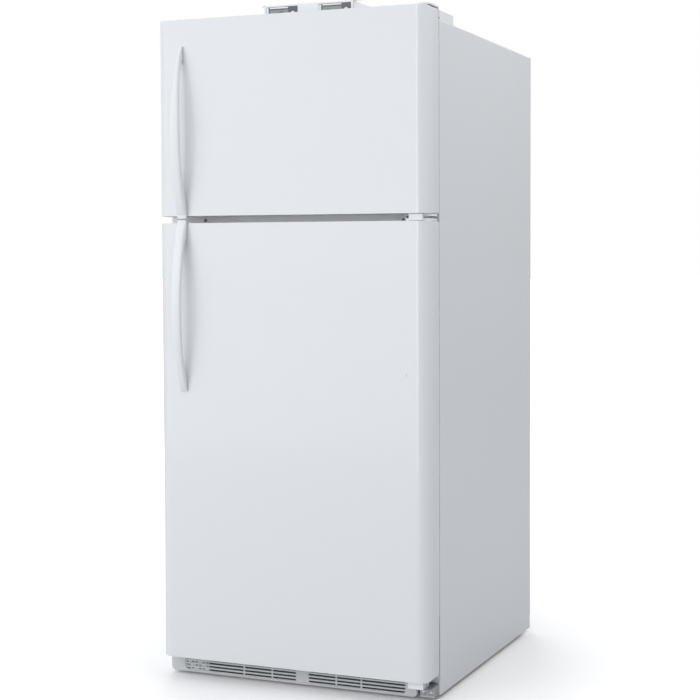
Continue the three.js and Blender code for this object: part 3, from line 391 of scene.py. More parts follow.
@dataclass(frozen=True)
class MetalFinish(Finish):
    """Bare or coated metal whose edges wear bright.

    Attributes:
        worn: The colour of worn edges.
        wear: How strongly the edges are worn.
        spangle: Scale of a zinc coating's crystals per metre, or none at 0.
    """

    worn: Colour = (0.7, 0.7, 0.7)
    wear: float = 0.6
    spangle: float = 0.0

    def _colour(self, sheet: Layout, tone: Any, level: Any) -> tuple[Any, Any]:
        """Lays zinc patches and worn edges over the tone.

        Args:
            sheet: The layout that the nodes go into.
            tone: The drifting tone.
            level: The level that the drift stands at.

        Returns:
            The tone and the level with the marks on them.
        """
        if self.spangle:
            patch = self._effect(sheet, EFFECTS.spangle, {"Scale": self.spangle})["Patch"]
            level = sheet.math(
                "ADD", sheet.math("MULTIPLY", patch, 0.4), sheet.math("MULTIPLY", level, 0.6)
            )
            tone = sheet.blend(level, rgba(self.tones[0]), rgba(self.tones[1]))
        edges = self._effect(sheet, EFFECTS.wear, {"Amount": self.wear})["Mask"]
        return sheet.blend(edges, tone, rgba(self.worn)), level


@dataclass(frozen=True)
class FoamFinish(Finish):
    """Rigid foam with open cells."""

    def _height(self, sheet: Layout) -> Any:
        """The foam's cells."""
        feeds = {"Vector": sheet.place(), "Scale": self.relief[0]}
        return sheet.add("ShaderNodeTexVoronoi", feeds)["Distance"]


CLEAR_SHADER = (("Transmission Weight", 0.72), ("IOR", 1.4))
ENAMEL = Finish(
    "white_enamel",
    ((0.80, 0.815, 0.835), (0.775, 0.79, 0.812)),
    gloss=(0.30, 0.40),
    relief=(330.0, 0.0004),
    strength=0.30,
    drift=1.6,
    dust=0.10,
    shader=(("Coat Weight", 0.5), ("Coat Roughness", 0.09)),
)
# A lighter copy of the white enamel for the divider rail: painted brightness that stands in for
# light in the shaded gap between the doors.
RAIL_ENAMEL_PAINTED_BRIGHT = Finish(
    "divider_enamel_painted_bright",
    ((0.95, 0.955, 0.965), (0.92, 0.93, 0.945)),
    gloss=(0.26, 0.36),
    relief=(330.0, 0.0003),
    strength=0.25,
    drift=2.0,
)
WHITE_MOULDED = Finish(
    "white_moulded_plastic",
    ((0.86, 0.872, 0.888), (0.83, 0.843, 0.86)),
    gloss=(0.30, 0.42),
    relief=(900.0, 0.0002),
    drift=6.0,
)
LINER_FORMED = Finish(
    "formed_liner",
    ((0.84, 0.85, 0.85), (0.80, 0.81, 0.81)),
    gloss=(0.22, 0.34),
    relief=(160.0, 0.0003),
    strength=0.2,
    drift=2.4,
    dust=0.05,
)
GREY_MOULDED = Finish(
    "grey_moulded_plastic",
    ((0.67, 0.685, 0.70), (0.61, 0.625, 0.64)),
    gloss=(0.40, 0.55),
    relief=(1100.0, 0.0002),
    drift=8.0,
)
DISPLAY_FRAME = Finish(
    "dark_display_plastic",
    ((0.115, 0.12, 0.13), (0.085, 0.09, 0.10)),
    gloss=(0.30, 0.42),
    relief=(1400.0, 0.00012),
    drift=20.0,
)
LIQUID_CRYSTAL = Finish(
    "liquid_crystal_face",
    ((0.24, 0.255, 0.25), (0.19, 0.205, 0.20)),
    gloss=(0.10, 0.18),
    relief=(2600.0, 0.00004),
    drift=30.0,
    dust=0.0,
    shader=(("Coat Weight", 0.6), ("Coat Roughness", 0.05)),
)
SEGMENT_INK = Finish(
    "dark_segments",
    ((0.03, 0.035, 0.035), (0.05, 0.055, 0.055)),
    gloss=(0.2, 0.3),
    relief=(2000.0, 0.00003),
    dust=0.0,
)
GASKET_VINYL = Finish(
    "gasket_vinyl",
    ((0.84, 0.855, 0.87), (0.79, 0.805, 0.82)),
    gloss=(0.55, 0.68),
    relief=(700.0, 0.0002),
    drift=12.0,
)
TYRE_RUBBER = Finish(
    "dark_rubber",
    ((0.035, 0.036, 0.038), (0.06, 0.06, 0.062)),
    gloss=(0.6, 0.8),
    relief=(500.0, 0.0004),
    drift=20.0,
    dust=0.35,
)
BLACK_MOULDED = Finish(
    "black_moulded_plastic",
    ((0.028, 0.03, 0.033), (0.045, 0.047, 0.05)),
    gloss=(0.42, 0.58),
    relief=(800.0, 0.0003),
    drift=10.0,
    dust=0.3,
)
RIGID_FOAM = FoamFinish(
    "rigid_foam",
    ((0.78, 0.68, 0.42), (0.70, 0.58, 0.33)),
    gloss=(0.85, 0.95),
    relief=(450.0, 0.001),
    strength=0.7,
)
ZINC_SHEET = MetalFinish(
    "galvanised_sheet",
    ((0.52, 0.535, 0.55), (0.66, 0.675, 0.69)),
    gloss=(0.30, 0.50),
    relief=(500.0, 0.0001),
    shader=(("Metallic", 0.85),),
    spangle=110.0,
    worn=(0.78, 0.78, 0.79),
)
PLATED_STEEL = MetalFinish(
    "plated_steel",
    ((0.55, 0.56, 0.58), (0.44, 0.45, 0.47)),
    gloss=(0.22, 0.38),
    relief=(900.0, 0.00008),
    drift=30.0,
    shader=(("Metallic", 0.9),),
    worn=(0.85, 0.85, 0.86),
)
DARK_SCREW = MetalFinish(
    "dark_screw",
    ((0.10, 0.105, 0.11), (0.16, 0.165, 0.17)),
    gloss=(0.35, 0.5),
    relief=(900.0, 0.0001),
    shader=(("Metallic", 0.6),),
    worn=(0.4, 0.4, 0.41),
)
BLACK_ENAMEL = MetalFinish(
    "black_enamelled_steel",
    ((0.022, 0.023, 0.025), (0.035, 0.036, 0.038)),
    gloss=(0.30, 0.45),
    relief=(260.0, 0.0005),
    strength=0.4,
    dust=0.35,
    worn=(0.25, 0.25, 0.26),
)
FIN_ALUMINIUM = MetalFinish(
    "fin_aluminium",
    ((0.74, 0.75, 0.76), (0.62, 0.63, 0.64)),
    gloss=(0.25, 0.40),
    relief=(200.0, 0.0002),
    stretch=14.0,
    shader=(("Metallic", 1.0),),
    wear=0.3,
)
TUBE_COPPER = MetalFinish(
    "tube_copper",
    ((0.78, 0.40, 0.25), (0.52, 0.25, 0.16)),
    gloss=(0.22, 0.45),
    relief=(300.0, 0.0002),
    drift=22.0,
    dust=0.25,
    shader=(("Metallic", 1.0),),
    worn=(0.88, 0.55, 0.40),
)
SHELF_GLASS = Finish(
    "tempered_glass",
    ((0.90, 0.965, 0.945), (0.88, 0.95, 0.93)),
    gloss=(0.02, 0.05),
    relief=(60.0, 0.0001),
    strength=0.05,
    dust=0.0,
    shader=(("Transmission Weight", 0.86), ("IOR", 1.45)),
)
CLEAR_MOULDED = Finish(
    "clear_moulded_plastic",
    ((0.93, 0.955, 0.97), (0.90, 0.93, 0.95)),
    gloss=(0.08, 0.16),
    relief=(500.0, 0.0001),
    strength=0.15,
    dust=0.0,
    shader=CLEAR_SHADER,
)
SLOT_FINISH = {
    Slot.PAINT: ENAMEL,
    Slot.LINER: LINER_FORMED,
    Slot.WHITE: WHITE_MOULDED,
    Slot.GREY: GREY_MOULDED,
    Slot.GASKET: GASKET_VINYL,
    Slot.ZINC: ZINC_SHEET,
    Slot.BLACK_STEEL: BLACK_ENAMEL,
    Slot.BLACK_PLASTIC: BLACK_MOULDED,
    Slot.ALUMINIUM: FIN_ALUMINIUM,
    Slot.COPPER: TUBE_COPPER,
    Slot.GLASS: SHELF_GLASS,
    Slot.CLEAR: CLEAR_MOULDED,
    Slot.RUBBER: TYRE_RUBBER,
}


# ---------------------------------------------------------------- bench


def clear_bench() -> None:
    """Leaves edit mode and deselects everything."""
    if bpy.context.mode != "OBJECT":
        bpy.ops.object.mode_set(mode="OBJECT")
    bpy.ops.object.select_all(action="DESELECT")


class Workpiece:
    """One piece on the bench, shaped with the modelling operators.

    Every shaping method returns the workpiece, so that steps can follow each other.
    """

    def __init__(self, name: str) -> None:
        """Takes the object that was added last.

        Args:
            name: The piece's name.
        """
        self.body: bpy.types.Object = bpy.context.view_layer.objects.active
        self.body.name = name
        self.body.data.name = name

    @property
    def name(self) -> str:
        """The piece's name."""
        return self.body.name

    @classmethod
    def block(cls, name: str, low: Iterable[float], high: Iterable[float]) -> "Workpiece":
        """Adds a block between two corners.

        Args:
            name: The piece's name.
            low: The lowest corner.
            high: The highest corner.

        Returns:
            The workpiece.
        """
        clear_bench()
        low, high = Vector(low), Vector(high)
        bpy.ops.mesh.primitive_cube_add(size=1, location=(low + high) / 2, scale=high - low)
        piece = cls(name)
        bpy.ops.object.transform_apply(location=True, rotation=True, scale=True)
        return piece

    @classmethod
    def rod(
        cls, name: str, axis: str, radius: float, span: Span, at: Span, sides: int = 32
    ) -> "Workpiece":
        """Adds a round rod.

        Args:
            name: The piece's name.
            axis: The rod's direction: x, y or z.
            radius: Its radius.
            span: Where it starts and ends along its axis.
            at: Its place in the other two directions, in order.
            sides: How many sides it has.

        Returns:
            The workpiece.
        """
        clear_bench()
        middle = sum(span) / 2
        place = list(at)
        place.insert("xyz".index(axis), middle)
        turns = {"x": (0, math.pi / 2, 0), "y": (math.pi / 2, 0, 0), "z": (0, 0, 0)}
        bpy.ops.mesh.primitive_cylinder_add(
            vertices=sides,
            radius=radius,
            depth=span[1] - span[0],
            location=place,
            rotation=turns[axis],
        )
        piece = cls(name)
        bpy.ops.object.transform_apply(location=True, rotation=True, scale=True)
        return piece

    @classmethod
    def ring(
        cls,
        name: str,
        radius: float,
        thickness: float,
        place: Iterable[float],
        turn: Iterable[float],
    ) -> "Workpiece":
        """Adds a round ring with its middle at a place, turned about the axes.

        Args:
            name: The piece's name.
            radius: The ring's radius.
            thickness: The radius of its section.
            place: Where its middle lies.
            turn: How it is turned about the axes.

        Returns:
            The workpiece.
        """
        clear_bench()
        bpy.ops.mesh.primitive_torus_add(
            major_radius=radius,
            minor_radius=thickness,
            major_segments=48,
            minor_segments=10,
            location=place,
            rotation=turn,
        )
        piece = cls(name)
        bpy.ops.object.transform_apply(location=True, rotation=True, scale=True)
        return piece

    @classmethod
    def traced(cls, name: str, node: str) -> "Workpiece":
        """Copies a node's shape and merges its loose triangles into whole faces.

        Args:
            name: The piece's name.
            node: The node that it follows.

        Returns:
            The workpiece.
        """
        clear_bench()
        mesh = NODES[node].data.copy()
        mesh.materials.clear()
        copy = bpy.data.objects.new(name, mesh)
        bpy.context.scene.collection.objects.link(copy)
        bpy.context.view_layer.objects.active = copy
        copy.select_set(True)
        piece = cls(name)
        if mesh.has_custom_normals:
            bpy.ops.mesh.customdata_custom_splitnormals_clear()
        piece.work("FACE")
        bpy.ops.mesh.select_all(action="SELECT")
        bpy.ops.mesh.remove_doubles(threshold=0.00002)
        bpy.ops.mesh.dissolve_limited(angle_limit=math.radians(0.6))
        return piece

    @classmethod
    def tube(cls, name: str, radius: float, points: list[Vector], smooth: int = 4) -> "Workpiece":
        """Bends a tube along points.

        Args:
            name: The piece's name.
            radius: The tube's radius.
            points: The points that its middle follows.
            smooth: How round the tube's section is.

        Returns:
            The workpiece, a mesh with capped ends.
        """
        clear_bench()
        curve = bpy.data.curves.new(name, "CURVE")
        curve.dimensions = "3D"
        curve.bevel_depth = radius
        curve.bevel_resolution = smooth
        curve.use_fill_caps = True
        spline = curve.splines.new("POLY")
        spline.points.add(len(points) - 1)
        for point, place in zip(spline.points, points):
            point.co = (*place, 1.0)
        bent = bpy.data.objects.new(name, curve)
        bpy.context.scene.collection.objects.link(bent)
        bpy.context.view_layer.objects.active = bent
        bent.select_set(True)
        bpy.ops.object.convert(target="MESH")
        return cls(name).outward()

    def work(self, kind: str) -> None:
        """Opens the piece in edit mode to select vertices, edges or faces.

        Args:
            kind: VERT, EDGE or FACE.
        """
        if bpy.context.mode != "EDIT_MESH" or bpy.context.edit_object is not self.body:
            clear_bench()
            bpy.context.view_layer.objects.active = self.body
            self.body.select_set(True)
            bpy.ops.object.mode_set(mode="EDIT")
        bpy.ops.mesh.select_mode(type=kind)

    def leave(self) -> None:
        """Closes edit mode with the piece active and alone selected."""
        clear_bench()
        bpy.context.view_layer.objects.active = self.body
        self.body.select_set(True)

    def faces(self, test: Test) -> "Workpiece":
        """Selects the faces whose middle and normal pass a test.

        Args:
            test: Takes a face's middle and normal.

        Returns:
            The workpiece.
        """
        self.work("FACE")
        bpy.ops.mesh.select_all(action="DESELECT")
        mesh = bmesh.from_edit_mesh(self.body.data)
        for face in mesh.faces:
            if test(face.calc_center_median(), face.normal):
                face.select_set(True)
        bmesh.update_edit_mesh(self.body.data)
        return self

    def edges(self, test: Test) -> "Workpiece":
        """Selects the bent edges whose middle and direction (all parts positive) pass a test.

        Args:
            test: Takes an edge's middle and direction.

        Returns:
            The workpiece.
        """
        self.work("EDGE")
        bpy.ops.mesh.select_all(action="DESELECT")
        mesh = bmesh.from_edit_mesh(self.body.data)
        for edge in mesh.edges:
            start, end = (vertex.co for vertex in edge.verts)
            direction = Vector(map(abs, (end - start).normalized()))
            if edge.calc_face_angle(math.pi) > FLAT and test((start + end) / 2, direction):
                edge.select_set(True)
        bmesh.update_edit_mesh(self.body.data)
        return self

    def extrude(self, x: float = 0.0, y: float = 0.0, z: float = 0.0) -> "Workpiece":
        """Draws the selected faces out."""
        bpy.ops.mesh.extrude_region_move(TRANSFORM_OT_translate={"value": (x, y, z)})
        return self

    def move(self, x: float = 0.0, y: float = 0.0, z: float = 0.0) -> "Workpiece":
        """Moves what is selected."""
        bpy.ops.transform.translate(value=(x, y, z))
        return self

    def resize(self, factors: Iterable[float], centre: Iterable[float]) -> "Workpiece":
        """Scales what is selected about a centre."""
        bpy.ops.transform.resize(value=tuple(factors), center_override=tuple(centre))
        return self

    def inset(self, thickness: float, depth: float = 0.0, each: bool = False) -> "Workpiece":
        """Sets the selected faces in from their border, and down by a depth."""
        bpy.ops.mesh.inset(thickness=thickness, depth=depth, use_individual=each)
        return self

    def bevel(self, radius: float, segments: int = 3) -> "Workpiece":
        """Rounds the selected edges."""
        bpy.ops.mesh.bevel(offset=radius, segments=segments, affect="EDGES")
        return self

    def drop(self) -> "Workpiece":
        """Removes the selected faces."""
        bpy.ops.mesh.delete(type="FACE")
        return self

    def outward(self) -> "Workpiece":
        """Turns every face outwards.

        Returns:
            The workpiece.
        """
        self.work("FACE")
        bpy.ops.mesh.select_all(action="SELECT")
        bpy.ops.mesh.remove_doubles(threshold=0.000005)
        bpy.ops.mesh.normals_make_consistent(inside=False)
        return self

    def modify(self, kind: str, **settings: Any) -> "Workpiece":
        """Adds a modifier and applies it.

        Args:
            kind: The modifier's type.
            settings: The modifier's own settings.

        Returns:
            The workpiece.
        """
        self.leave()
        modifier = self.body.modifiers.new(kind.lower(), kind)
        for setting, value in settings.items():
            setattr(modifier, setting, value)
        bpy.ops.object.modifier_apply(modifier=modifier.name)
        return self

    def soften(self, radius: float, segments: int = 2, angle: float = 32.0) -> "Workpiece":
        """Rounds every edge sharper than an angle, as far as thin walls allow.

        Args:
            radius: How far the rounding reaches.
            segments: How many steps it has.
            angle: Edges less sharp than this, in degrees, are left.

        Returns:
            The workpiece.
        """
        return self.modify(
            "BEVEL",
            width=radius,
            segments=segments,
            limit_method="ANGLE",
            angle_limit=math.radians(angle),
        )

    def cut(self, tool: "Workpiece") -> "Workpiece":
        """Cuts a tool's shape out of the piece and takes the tool away.

        Args:
            tool: The shape that is cut out.

        Returns:
            The workpiece.
        """
        self.modify("BOOLEAN", operation="DIFFERENCE", object=tool.body, solver="EXACT")
        bpy.data.objects.remove(tool.body)
        return self

    def keep(self, tool: "Workpiece") -> "Workpiece":
        """Keeps what lies inside a tool's shape and takes the tool away.

        Args:
            tool: The shape that is kept.

        Returns:
            The workpiece.
        """
        self.modify("BOOLEAN", operation="INTERSECT", object=tool.body, solver="EXACT")
        bpy.data.objects.remove(tool.body)
        return self

    def join(self, others: list["Workpiece"]) -> "Workpiece":
        """Takes other workpieces into this one.

        Args:
            others: The workpieces that are taken in.

        Returns:
            The workpiece.
        """
        self.leave()
        for other in others:
            other.body.select_set(True)
        bpy.ops.object.join()
        return self

    def copy_to(self, name: str, x: float = 0.0, y: float = 0.0, z: float = 0.0) -> "Workpiece":
        """Copies the piece, mesh and all, to a place away from its own.

        Args:
            name: The copy's name.
            x: How far along X.
            y: How far along Y.
            z: How far along Z.

        Returns:
            The copy.
        """
        self.leave()
        bpy.ops.object.duplicate()
        copy = Workpiece(name)
        copy.body.data.transform(Matrix.Translation((x, y, z)))
        return copy

    def spread(self, offsets: list[tuple[float, float, float]]) -> "Workpiece":
        """Repeats the piece at every offset and joins the copies, the piece itself included."""
        copies = [self.copy_to(f"{self.name}_{i}", *offset) for i, offset in enumerate(offsets)]
        return self.join(copies)

    def fit(
        self,
        body: str,
        slot: Slot,
        *stands_for: str,
        finish: Finish | None = None,
        angle: float = 40.0,
    ) -> "Workpiece":
        """Shades and dresses the finished piece and hands it to its body.

        Args:
            body: The body that it rides on.
            slot: The record's slot that it takes its finish from.
            stands_for: The nodes that it replaces.
            finish: A finish other than the slot's usual one.
            angle: Edges sharper than this stay crisp.

        Returns:
            The workpiece.
        """
        self.leave()
        bpy.ops.object.shade_smooth_by_angle(angle=math.radians(angle))
        self.modify("WEIGHTED_NORMAL", keep_sharp=True, weight=50)
        self.body.data.materials.clear()
        self.body.data.materials.append((finish or SLOT_FINISH[slot]).material())
        if stands_for:
            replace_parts(self.body, *stands_for)
        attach(self.body, body)
        self.body
        LOG.info("%s: %d faces on %s", self.name, len(self.body.data.polygons), body)
        return self


def at(value: float, target: float) -> bool:
    """Whether a coordinate lies at a place."""
    return abs(value - target) < NEAR


def dress_node(node: str, finish: Finish) -> None:
    """Gives a node of the frame a finish, its shape left alone.

    Args:
        node: The node's name.
        finish: The finish that it takes.
    """
    slots = NODES[node].data.materials
    for i in range(len(slots)):
        slots[i] = finish.material()
    LOG.info("%s: dressed in %s", node, finish.name)


def screw(name: str, place: tuple[float, float, float], radius: float = 0.004) -> Workpiece:
    """Models a pan-head screw that looks towards -Y, with a cross recess.

    Args:
        name: The piece's name.
        place: The middle of the face that its head sits on.
        radius: The head's radius.

    Returns:
        The workpiece.
    """
    x, y, z = place
    height = 0.55 * radius
    head = Workpiece.rod(name, "y", radius, (y - height, y), (x, z), sides=16)
    head.edges(lambda middle, _: at(middle.y, y - height)).bevel(0.4 * height, 2)
    arm, depth = 0.12 * radius, 0.5 * height
    for reach in ((0.6 * radius, arm), (arm, 0.6 * radius)):
        low = (x - reach[0], y - 2 * height, z - reach[1])
        high = (x + reach[0], y - height + depth, z + reach[1])
        head.cut(Workpiece.block("recess", low, high))
    return head


# ---------------------------------------------------------------- doors


@dataclass
class BowHandle:
    """A slim bow bar that leaves the door at both ends and runs into the gap between doors.

    Attributes:
        door: The door's name.
        tip: The bar's width at the end away from the gap.
        gap_end: Whether the end at the gap is the bar's lower one.
        feet: The bar's depth at the gap end and at the other.
        reach: How far the bow stands off the door at its middle.
        bar: The bar's depth at its middle.
        width: The bar's width at the gap and along its middle.
        tail: How far the bar runs on into the gap.
        foot_share: The share of the bar's length that each foot takes.
        steps: How many slices the bar is drawn out in.
    """

    door: str
    tip: float
    gap_end: bool
    feet: Span = (9 * MM, 4 * MM)
    reach: float = 41.7 * MM
    bar: float = 13 * MM
    width: float = 26.5 * MM
    tail: float = 9.2 * MM
    foot_share: float = 0.085
    steps: int = 44

    def _slice(self, share: float, face: float) -> tuple[float, float, float]:
        """Front, back and width of the bar at a share of its length from the gap.

        Args:
            share: Share of the bar's length, from the gap.
            face: Where the door's face lies.

        Returns:
            Front, back and width.
        """
        foot = self.feet[0] + (self.feet[1] - self.feet[0]) * share
        bow = math.sin(math.pi * share) ** 0.72 if 0 < share < 1 else 0.0
        front = face - foot - (self.reach - foot) * bow
        inner = (share - self.foot_share) / (1 - 2 * self.foot_share)
        lift = math.sin(math.pi * inner) ** 0.6 if 0 < inner < 1 else 0.0
        back = face - (self.reach - self.bar) * lift
        late = min(max((share - 0.5) / 0.5, 0.0), 1.0)
        narrowing = late * late * (3 - 2 * late)
        width = self.width + (self.tip - self.width) * narrowing
        return front, max(back, front + 3.5 * MM), width

    def _stations(self, low: float, high: float) -> list[tuple[float, float]]:
        """The height and share of each slice, from the gap outwards.

        Args:
            low: The bar's lower end.
            high: Its upper end.

        Returns:
            The height and the share of each slice.
        """
        start, end = (low, high) if self.gap_end else (high, low)
        turns = (math.pi * step / self.steps for step in range(self.steps + 1))
        shares = [0.5 - 0.5 * math.cos(turn) for turn in turns]
        way = 1 if end > start else -1
        return [(start - way * self.tail, 0.0)] + [(start + (end - start) * s, s) for s in shares]

    def build(self) -> None:
        """Draws the bar out in slices from a rounded section."""
        node = f"{self.door}_door_handle"
        low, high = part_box(node)
        face, x = high.y, (low.x + high.x) / 2
        stations = self._stations(low.z, high.z)
        start = stations[0][0]
        clear_bench()
        bpy.ops.mesh.primitive_plane_add(size=1, location=(x, 0, start))
        bar = Workpiece(f"{self.door}_bow_handle")
        bpy.ops.object.transform_apply(location=True, rotation=True, scale=True)
        bar.work("VERT")
        bpy.ops.mesh.select_all(action="SELECT")
        bpy.ops.mesh.bevel(offset=0.36, segments=5, affect="VERTICES")
        bpy.ops.mesh.select_all(action="SELECT")
        front, back, width = self._slice(0.0, face)
        bar.resize((width, back - front, 1), (x, 0, start)).move(y=(front + back) / 2)
        height = start
        for level, share in stations[1:]:
            middle, depth, last_width = (front + back) / 2, back - front, width
            front, back, width = self._slice(share, face)
            centre = (front + back) / 2
            bar.extrude(y=centre - middle, z=level - height)
            factors = (width / last_width, (back - front) / depth, 1)
            bar.resize(factors, (x, centre, level))
            height = level
        ends = (start, stations[-1][0])
        bar.outward().edges(lambda place, _: at(place.z, ends[0]) or at(place.z, ends[1]))
        bar.bevel(0.8 * MM, 2)
        bar.fit(f"{self.door}_door", Slot.WHITE, node, angle=50)


@dataclass
class Door:
    """A door: skin, inner panel, gasket, bins and handle.

    Attributes:
        name: freezer or fridge.
        radii: The radius of the skin's lower and upper ends.
        bins: The door's bins.
        handle: The door's handle.
        edge: The radius of the skin's upright edges.
        sheet: The skin's thickness.
        fold: The radius of the skin's folds.
        panel_lap: How far the inner panel laps past the liner's ends.
        fin_low: The lowest height that the gasket's side fins reach down to.
        fin_setback: How far the fins stand in from the skin's sides and from the top.
        corner: The radius of the inner panel's upright corners.
    """

    name: str
    radii: Span
    bins: tuple[str, ...]
    handle: BowHandle
    edge: float = 34 * MM
    sheet: float = 1.0 * MM
    fold: float = 2.4 * MM
    panel_lap: float = 10.4 * MM
    fin_low: float = 0.205
    fin_setback: float = 1.6 * MM
    corner: float = 9 * MM

    @property
    def body(self) -> str:
        """The body that the door's pieces ride on."""
        return f"{self.name}_door"

    def build(self) -> None:
        """Models the door's pieces."""
        self.build_skin()
        self.build_liner()
        self.build_gasket()
        for node in self.bins:
            self.build_bin(node)
        self.handle.build()
        dress_node(f"{self.body}_foam", RIGID_FOAM)

    def build_skin(self) -> None:
        """Folds the skin: broad upright edges, round corners at the ends, soft folds."""
        low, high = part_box(f"{self.body}_skin")
        skin = Workpiece.block(f"{self.body}_outer_skin", low, high)
        for height, radius in zip((low.z, high.z), self.radii):
            skin.edges(lambda middle, way, z=height: at(middle.z, z) and way.y > 0.9)
            skin.bevel(radius, 6)
        spare = Vector((0.0, 0.0, self.edge))
        behind = Vector((0.0, self.edge, 0.0))
        plan = Workpiece.block("door_plan", low - spare, high + spare + behind)
        plan.edges(lambda middle, way: at(middle.y, low.y) and way.z > 0.9).bevel(self.edge, 16)
        skin.keep(plan).soften(self.fold, 3, 35)
        skin.faces(lambda middle, _: at(middle.y, high.y)).drop()
        skin.modify("SOLIDIFY", thickness=self.sheet, offset=-1.0, use_even_offset=True)
        skin.fit(self.body, Slot.PAINT, f"{self.body}_skin", angle=50)

    def build_liner(self) -> None:
        """Forms the inner panel with a rounded rim."""
        node = f"{self.body}_liner"
        low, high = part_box(node)
        plate = low.y + 3 * MM
        panel = Workpiece.traced(f"{self.body}_inner_panel", node)
        for end, way in ((high.z, 1), (low.z, -1)):
            panel.faces(lambda place, normal, z=end: abs(normal.z) > 0.9 and at(place.z, z))
            panel.move(z=way * self.panel_lap)
        panel.edges(lambda middle, way: way.y > 0.9 and middle.y > plate).bevel(self.corner, 5)
        panel.soften(1.6 * MM, 3, 50)
        panel.fit(self.body, Slot.LINER, node)

    def build_gasket(self) -> None:
        """Moulds the gasket with a channel between its two lips, and its wide outer fin."""
        node = f"{self.body}_gasket"
        seal = Workpiece.traced(f"{self.body}_seal", node)
        seal.faces(lambda _, normal: abs(normal.y) < 0.1).inset(2.2 * MM, -1.8 * MM)
        seal.soften(0.9 * MM, 2)
        seal.fit(self.body, Slot.GASKET, node)
        low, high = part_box(node)
        door_low, door_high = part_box(f"{self.body}_skin")
        bottom = max(door_low.z, self.fin_low)
        top = min(door_high.z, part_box("cabinet_shell")[1].z) - self.fin_setback
        for side, name in ((-1, "left"), (1, "right")):
            outer = side * (door_high.x - self.fin_setback)
            inner = side * (high.x - 1 * MM)
            fin = Workpiece.block(
                f"{self.body}_fin_{name}",
                (min(inner, outer), low.y + 0.2 * MM, bottom),
                (max(inner, outer), high.y - 0.2 * MM, top),
            )
            fin.faces(lambda _, normal, s=side: normal.x * s > 0.9).inset(1.4 * MM, -0.8 * MM)
            fin.soften(0.7 * MM, 2).fit(self.body, Slot.GASKET)

    def build_bin(self, node: str) -> None:
        """Moulds a clear bin with round corners and a white rail along its front.

        Args:
            node: The bin that the piece follows.
        """
        low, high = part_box(node)
        bin_ = Workpiece.traced(f"{node}_tub", node)
        bin_.edges(lambda middle, way: way.z > 0.9).bevel(9 * MM, 4)
        bin_.soften(0.8 * MM, 2, 45)
        bin_.fit(self.body, Slot.CLEAR, node)
        rail_low = (low.x + 10 * MM, high.y - 1 * MM, high.z - 14 * MM)
        rail_high = (high.x - 10 * MM, high.y + 4 * MM, high.z + 3 * MM)
        rail = Workpiece.block(f"{node}_rail", rail_low, rail_high)
        rail.faces(lambda _, normal: normal.y > 0.9).inset(3 * MM, -1.2 * MM)
        rail.soften(1.6 * MM, 3).fit(self.body, Slot.WHITE)


class DoorTrim:
    """The small white pieces on the lower door: the hole plug and the stop cam."""

    def build(self) -> None:
        """Models both pieces."""
        node = "door_hole_plug"
        low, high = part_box(node)
        middle = ((low.x + high.x) / 2, (low.z + high.z) / 2)
        plug = Workpiece.rod("hole_plug_cap", "y", (high.x - low.x) / 2, (low.y, high.y), middle)
        plug.edges(lambda place, _: at(place.y, low.y)).bevel(0.8 * MM, 3)
        plug.faces(lambda _, normal: normal.y < -0.95).inset(1.6 * MM, -0.35 * MM)
        plug.fit("fridge_door", Slot.WHITE, node)
        cam = Workpiece.traced("door_stop_cam", "door_cam")
        low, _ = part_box("door_cam")
        cam.faces(lambda middle, normal: normal.y < -0.95).inset(2.4 * MM, -0.6 * MM)
        cam.soften(1.6 * MM, 3, 50).fit("fridge_door", Slot.WHITE, "door_cam")


# ---------------------------------------------------------------- hinges


